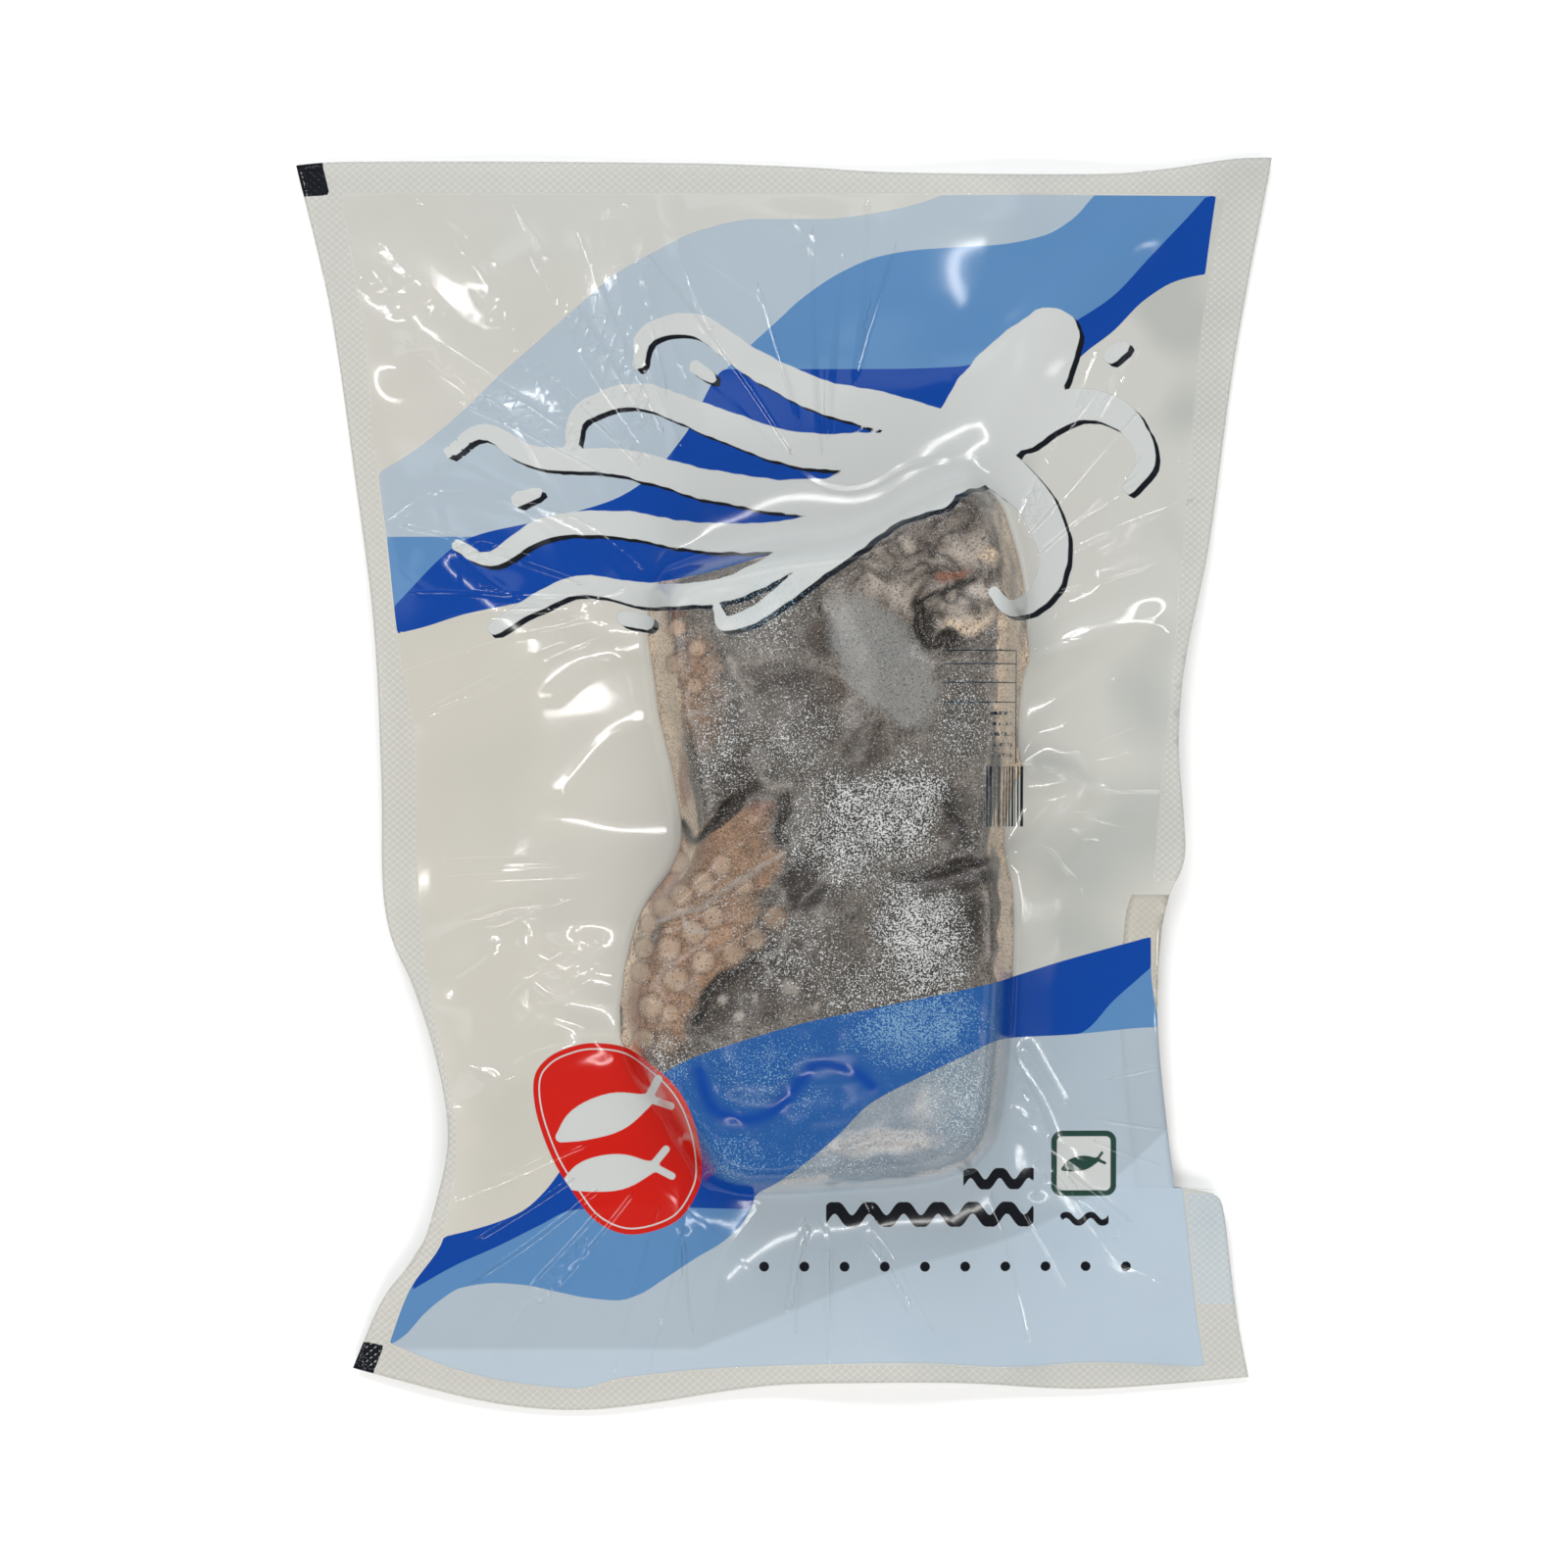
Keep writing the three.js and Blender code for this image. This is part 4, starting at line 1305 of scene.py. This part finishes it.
class OCTOPUS_OT_front_film(bpy.types.Operator):
    """Add the clear printed front film, drawn over the block and sealed at the rim"""

    bl_idname = "octopus_pack.front_film"
    bl_label = "Front Film"

    def execute(self, context):
        look = context.scene.octopus_pack.pouch
        bm = bm_from(refined(cad_face(1), 2, "Smooth_face"))
        x, y = np.array([face.calc_center_median().to_2d() for face in bm.faces]).T / MM
        finer = [face for face, fine in zip(bm.faces, needs_detail(x, y)) if fine]
        edges = {edge for face in finer for edge in face.edges}
        bmesh.ops.subdivide_edges(bm, edges=list(edges), cuts=1, use_grid_fill=True)
        mesh = mesh_from(bm, "Front_film")
        x, y, z = places(mesh)
        height, _ = film_height(x, y, z, edge_distance(mesh, x, y))
        set_places(mesh, x, y, height)

        bm = bm_from(mesh)
        made = bmesh.ops.extrude_edge_only(bm, edges=[e for e in bm.edges if e.is_boundary])
        skirt = [v for v in made["geom"] if isinstance(v, bmesh.types.BMVert)]
        bmesh.ops.translate(bm, verts=skirt, vec=(0, 0, -look.rim_thickness))
        write_back(bm, mesh)

        x, y, z = places(mesh)
        for name, values in print_fields(x, y).items():
            store(mesh, name, values)
        store(mesh, "rim", rim_field(mesh, x, y))
        store(mesh, "touch", touch_field(x, y, z))
        store(mesh, "frost", frost_field(x, y))
        store(mesh, "crinkle", crinkle_field(mesh, x, y, z))
        fold, depth = crease_side(x, y, FILM_CREASES + fine_creases())
        store(mesh, "fold", fold)
        store(mesh, "fold_depth", depth)
        smooth(mesh)
        film = linked("front_film", mesh)
        film.visible_shadow = False
        film.visible_diffuse = False
        mesh.materials.append(printed_film(look))
        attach(film, BODY)
        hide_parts(POUCH_NODE)
        return {"FINISHED"}


def rim_field(mesh, x, y):
    """How deep each place is inside the embossed seal. The side that is folded under shows none."""
    folded = overlap(x - FOLD_FROM, y - FLAP_TOP, FOLD_TOP - y)
    inner = overlap(print_sides(x, y), PRINT_TOP - y, y - curve_at(PRINT_FOOT, x))
    return overlap(RIM_WIDTH - edge_distance(mesh, x, y), -folded, -inner - 0.4)


def touch_field(x, y, z):
    """1 where the film lies on the flesh and 0 where it is free."""
    path, width = DRY_CHANNEL
    bridged = path_bell(x, y, path, width)
    return np.clip((z - BLOCK_TOP_FROM) / 4, 0, 1) * (1 - 0.9 * bridged)


def frost_field(x, y):
    """How thick the frost between film and flesh is."""
    wx, wy = wandering(x, y, 2.0)
    path, width = DRY_CHANNEL
    free = np.maximum(patch_field(wx, wy, FROST_FREE), path_bell(x, y, path, width))
    return np.clip(np.maximum(patch_field(wx, wy, FROST_PATCHES), BASE_FROST) - free, 0, 1)


def crinkle_field(mesh, x, y, z):
    """How crumpled the film is."""
    free = 1 - np.clip((z - FREE_FILM_TOP) / 6, 0, 1)
    rim = np.clip(edge_distance(mesh, x, y) / RIM_WIDTH - 0.7, 0, 1)
    return free * rim * (0.12 + 0.88 * patch_field(x, y, CRUMPLED_PATCHES))


class OCTOPUS_OT_back_film(bpy.types.Operator):
    """Add the milky back film under the block"""

    bl_idname = "octopus_pack.back_film"
    bl_label = "Back Film"

    def execute(self, context):
        look = context.scene.octopus_pack.pouch
        lower_face = tree_of(refined(cad_face(-1), 2, "Lower_face"))
        mesh = refined(cad_face(1), 1, "Back_film")
        x, y, z = places(mesh)
        front = tree_of(bpy.data.objects["front_film"].data)
        height = height_under(lower_face, x, y, upwards=True)
        rim = np.clip((RIM_WIDTH - edge_distance(mesh, x, y)) / 1.5, 0, 1)
        gap = gap_between(look, rim)
        under_block = np.clip((z - SEAM_HEIGHT) / 4, 0, 1)
        free = height_under(front, x, y, upwards=False) - gap
        set_places(mesh, x, y, np.maximum(free * (1 - under_block) + height * under_block, 0))
        bm = bm_from(mesh)
        bmesh.ops.reverse_faces(bm, faces=bm.faces)
        write_back(bm, mesh)
        smooth(mesh)
        film = linked("back_film", mesh)
        mesh.materials.append(milky_film(look))
        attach(film, BODY)
        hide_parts(POUCH_NODE)
        return {"FINISHED"}


class OCTOPUS_OT_folded_seal(bpy.types.Operator):
    """Add the seal that is folded under the right side"""

    bl_idname = "octopus_pack.folded_seal"
    bl_label = "Folded Seal"

    def execute(self, context):
        look = context.scene.octopus_pack.pouch
        back = bpy.data.objects["back_film"].data
        x, y, _ = places(back)
        to_edge = edge_distance(back, x, y)
        bm = bm_from(back)
        bm.verts.ensure_lookup_table()
        kept = (x > FOLD_FROM) & (to_edge < FOLD_WIDTH) & (y > FOLD_SPAN[0]) & (y < FOLD_SPAN[1])
        others = [v for v in bm.verts if not kept[v.index]]
        bmesh.ops.delete(bm, geom=others, context="VERTS")
        bmesh.ops.translate(bm, verts=bm.verts, vec=(0, 0, -FOLD_DROP * MM))
        bmesh.ops.solidify(bm, geom=bm.verts[:] + bm.edges[:] + bm.faces[:], thickness=look.rim_thickness)
        for v in bm.verts:
            v.co.z = max(v.co.z, FOLD_LOWEST * MM)
        bmesh.ops.recalc_face_normals(bm, faces=bm.faces)
        mesh = mesh_from(bm, "Folded_seal")
        smooth(mesh)
        seal = linked("folded_seal", mesh)
        mesh.materials.append(sealed_film(look))
        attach(seal, BODY)
        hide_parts(POUCH_NODE)
        return {"FINISHED"}


class OCTOPUS_OT_block(bpy.types.Operator):
    """Add the frozen block of folded octopus inside the pouch"""

    bl_idname = "octopus_pack.block"
    bl_label = "Frozen Block"

    def execute(self, context):
        settings = context.scene.octopus_pack
        clearance = settings.pouch.film_clearance
        film = tree_of(bpy.data.objects["front_film"].data)
        low, high = Vector((*BLOCK_LOW, 0)) * MM, Vector((*BLOCK_HIGH, 0)) * MM
        span = high - low
        cell = settings.block.cell
        bm = bmesh.new()
        bmesh.ops.create_grid(bm, x_segments=round(span.x / cell), y_segments=round(span.y / cell), size=0.5)
        bmesh.ops.scale(bm, verts=bm.verts, vec=(span.x, span.y, 1))
        bmesh.ops.translate(bm, verts=bm.verts, vec=(low + high) / 2)
        for v in bm.verts:
            hit, normal, *_ = film.ray_cast(v.co + Vector((0, 0, 1)), Vector((0, 0, -1)))
            v.co = hit - normal * clearance
        seam = (SEAM_HEIGHT + 0.4) * MM
        everything = bm.verts[:] + bm.edges[:] + bm.faces[:]
        bmesh.ops.bisect_plane(
            bm, geom=everything, plane_co=(0, 0, seam), plane_no=(0, 0, 1), clear_inner=True
        )
        loose = [v for v in bm.verts if not v.link_faces]
        bmesh.ops.delete(bm, geom=loose, context="VERTS")
        to_centre = Matrix.Translation(-Vector((*BLOCK_CENTRE, 0)) * MM)
        rim = [e for e in bm.edges if e.is_boundary]
        for shrink, height in BLOCK_FOOT:
            made = bmesh.ops.extrude_edge_only(bm, edges=rim)
            ring = [v for v in made["geom"] if isinstance(v, bmesh.types.BMVert)]
            rim = [e for e in made["geom"] if isinstance(e, bmesh.types.BMEdge) and e.is_boundary]
            bmesh.ops.scale(bm, verts=ring, vec=(1 - shrink, 1 - shrink * 0.5, 1), space=to_centre)
            for v in ring:
                v.co.z = height * MM
        bmesh.ops.edgeloop_fill(bm, edges=rim)
        bmesh.ops.recalc_face_normals(bm, faces=bm.faces)
        mesh = mesh_from(bm, "Octopus_block")
        self.colour_fields(mesh)
        smooth(mesh)
        block = linked("octopus_block", mesh)
        mesh.materials.append(frozen_flesh(settings.block))
        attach(block, BODY)
        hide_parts(POUCH_NODE)
        return {"FINISHED"}

    def colour_fields(self, mesh):
        x, y, z = places(mesh)
        wx, wy = wandering(x, y)
        side = np.clip((SIDE_SKIN_TOP - z) / 3, 0, 1) * (z > 2)
        for name, patches in SKIN_PATCHES.items():
            store(mesh, name, patch_field(wx, wy, patches))
        side *= 0.75 + 0.6 * ripple(x, y * 0.3, 2.4, 61.0)
        store(mesh, "pale_skin", np.maximum(patch_field(wx, wy, PALE_PATCHES), side))
        store(mesh, "frost", frost_field(x, y) * np.clip((z - BLOCK_TOP_FROM) / 4, 0, 1))
        sucker = np.zeros(len(x))
        edge = np.zeros(len(x))
        for px, py, radius in SUCKERS:
            away = np.hypot(x - px, y - py) / radius
            sucker = np.maximum(sucker, disc(away))
            edge = np.maximum(edge, bell(away - 1.08, 0.16))
        store(mesh, "sucker", sucker)
        store(mesh, "sucker_edge", edge)
        # painted shade along the furrows
        furrows = [path_bell(wx, wy, path, width) for path, _, width in FLESH_FURROWS]
        store(mesh, "furrow", union(furrows))
        threads = [path_bell(wx, wy, path, THREAD_WIDTH) for path in PALE_THREADS]
        spots = [disc(np.hypot(wx - px, wy - py) / radius) for px, py, radius in PALE_SPOTS]
        store(mesh, "thread", union([*threads, *spots]))


class OCTOPUS_OT_frost(bpy.types.Operator):
    """Scatter ice grains on the block, under the film"""

    bl_idname = "octopus_pack.frost"
    bl_label = "Frost Grains"

    def execute(self, context):
        settings = context.scene.octopus_pack.block
        draw = random.Random(5)
        block = tree_of(bpy.data.objects["octopus_block"].data)
        seed = bmesh.new()
        bmesh.ops.create_cone(
            seed, cap_ends=True, cap_tris=True, segments=5, radius1=1.0, radius2=0.45, depth=0.9
        )
        grain = mesh_from(seed, "Ice_grain")
        bm = bmesh.new()
        spots = [(draw.uniform(-38, 55), draw.uniform(-93, 70)) for _ in range(settings.frost_grains)]
        xs, ys = np.array(spots).T
        for x, y, frost in zip(xs * MM, ys * MM, frost_field(xs, ys)):
            hit, normal, *_ = block.ray_cast(Vector((x, y, 1)), Vector((0, 0, -1)))
            if hit is None or hit.z < BLOCK_TOP_FROM * MM or draw.random() > frost:
                continue
            size = settings.grain_size * draw.uniform(0.5, 1.25)
            lean = Matrix.Rotation(draw.uniform(0, math.tau), 4, "Z")
            lean @= Matrix.Rotation(draw.uniform(-0.6, 0.6), 4, "X")
            stretch = Matrix.Diagonal((size * draw.uniform(0.8, 1.6), size, size * 0.6, 1))
            upright = normal.to_track_quat("Z", "Y").to_matrix().to_4x4()
            first = len(bm.verts)
            bm.from_mesh(grain)
            bm.verts.ensure_lookup_table()
            place = Matrix.Translation(hit) @ upright @ lean @ stretch
            bmesh.ops.transform(bm, verts=bm.verts[first:], matrix=place)
        bmesh.ops.recalc_face_normals(bm, faces=bm.faces)
        mesh = mesh_from(bm, "Frost_grains")
        grains = linked("frost_grains", mesh)
        mesh.materials.append(ice_grain())
        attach(grains, BODY)
        return {"FINISHED"}


class OCTOPUS_OT_stage(bpy.types.Operator):
    """Add the floor, the lamps and the camera straight above the pack"""

    bl_idname = "octopus_pack.stage"
    bl_label = "Stage"

    def execute(self, context):
        look = context.scene.octopus_pack.stage
        bm = bmesh.new()
        bmesh.ops.create_grid(bm, x_segments=4, y_segments=4, size=8)
        bmesh.ops.translate(bm, verts=bm.verts, vec=(0, 0, -FLOOR_DROP * MM))
        floor = linked("floor", mesh_from(bm, "Floor"))
        floor.data.materials.append(floor_finish(look.floor_colour))

        world = bpy.data.worlds.new("Studio")
        context.scene.world = world
        world.use_nodes = True
        background = world.node_tree.nodes["Background"]
        background.inputs["Color"].default_value = SKY_COLOUR
        background.inputs["Strength"].default_value = SKY_STRENGTH

        for name, place, size, power, colour, mirrored in LAMPS:
            light = bpy.data.lights.new(name, "AREA")
            light.shape = "RECTANGLE"
            light.size, light.size_y = size
            light.energy = power
            light.color = colour
            lamp = linked(name, light)
            lamp.location = place
            lamp.rotation_euler = (-Vector(place)).to_track_quat("-Z", "Y").to_euler()
            lamp.visible_glossy = mirrored

        camera = bpy.data.cameras.new("Camera")
        camera.lens = camera.sensor_width * look.camera_height / look.frame_width
        eye = linked("Camera", camera)
        eye.location = (0, 0, look.camera_height)
        context.scene.camera = eye
        context.scene.view_settings.view_transform = "Standard"
        return {"FINISHED"}


class OCTOPUS_PT_panel(bpy.types.Panel):
    bl_label = "Frozen Octopus Pack"
    bl_idname = "OCTOPUS_PT_panel"
    bl_space_type = "VIEW_3D"
    bl_region_type = "UI"
    bl_category = "Octopus Pack"

    def draw(self, context):
        settings = context.scene.octopus_pack
        for group in (settings.pouch, settings.block, settings.stage):
            box = self.layout.box()
            for name in group.__annotations__:
                box.prop(group, name)
        for operator in OPERATORS:
            self.layout.operator(operator.bl_idname)


OPERATORS = (
    OCTOPUS_OT_front_film,
    OCTOPUS_OT_back_film,
    OCTOPUS_OT_folded_seal,
    OCTOPUS_OT_block,
    OCTOPUS_OT_frost,
    OCTOPUS_OT_stage,
)
CLASSES = (PouchSettings, BlockSettings, StageSettings, PackSettings, *OPERATORS, OCTOPUS_PT_panel)


def register():
    for cls in CLASSES:
        bpy.utils.register_class(cls)
    bpy.types.Scene.octopus_pack = PointerProperty(type=PackSettings)


def unregister():
    del bpy.types.Scene.octopus_pack
    for cls in reversed(CLASSES):
        bpy.utils.unregister_class(cls)


def main():
    register()
    bpy.ops.octopus_pack.front_film()
    bpy.ops.octopus_pack.back_film()
    bpy.ops.octopus_pack.folded_seal()
    bpy.ops.octopus_pack.block()
    bpy.ops.octopus_pack.frost()
    bpy.ops.octopus_pack.stage()


if __name__ == "__main__":
    main()
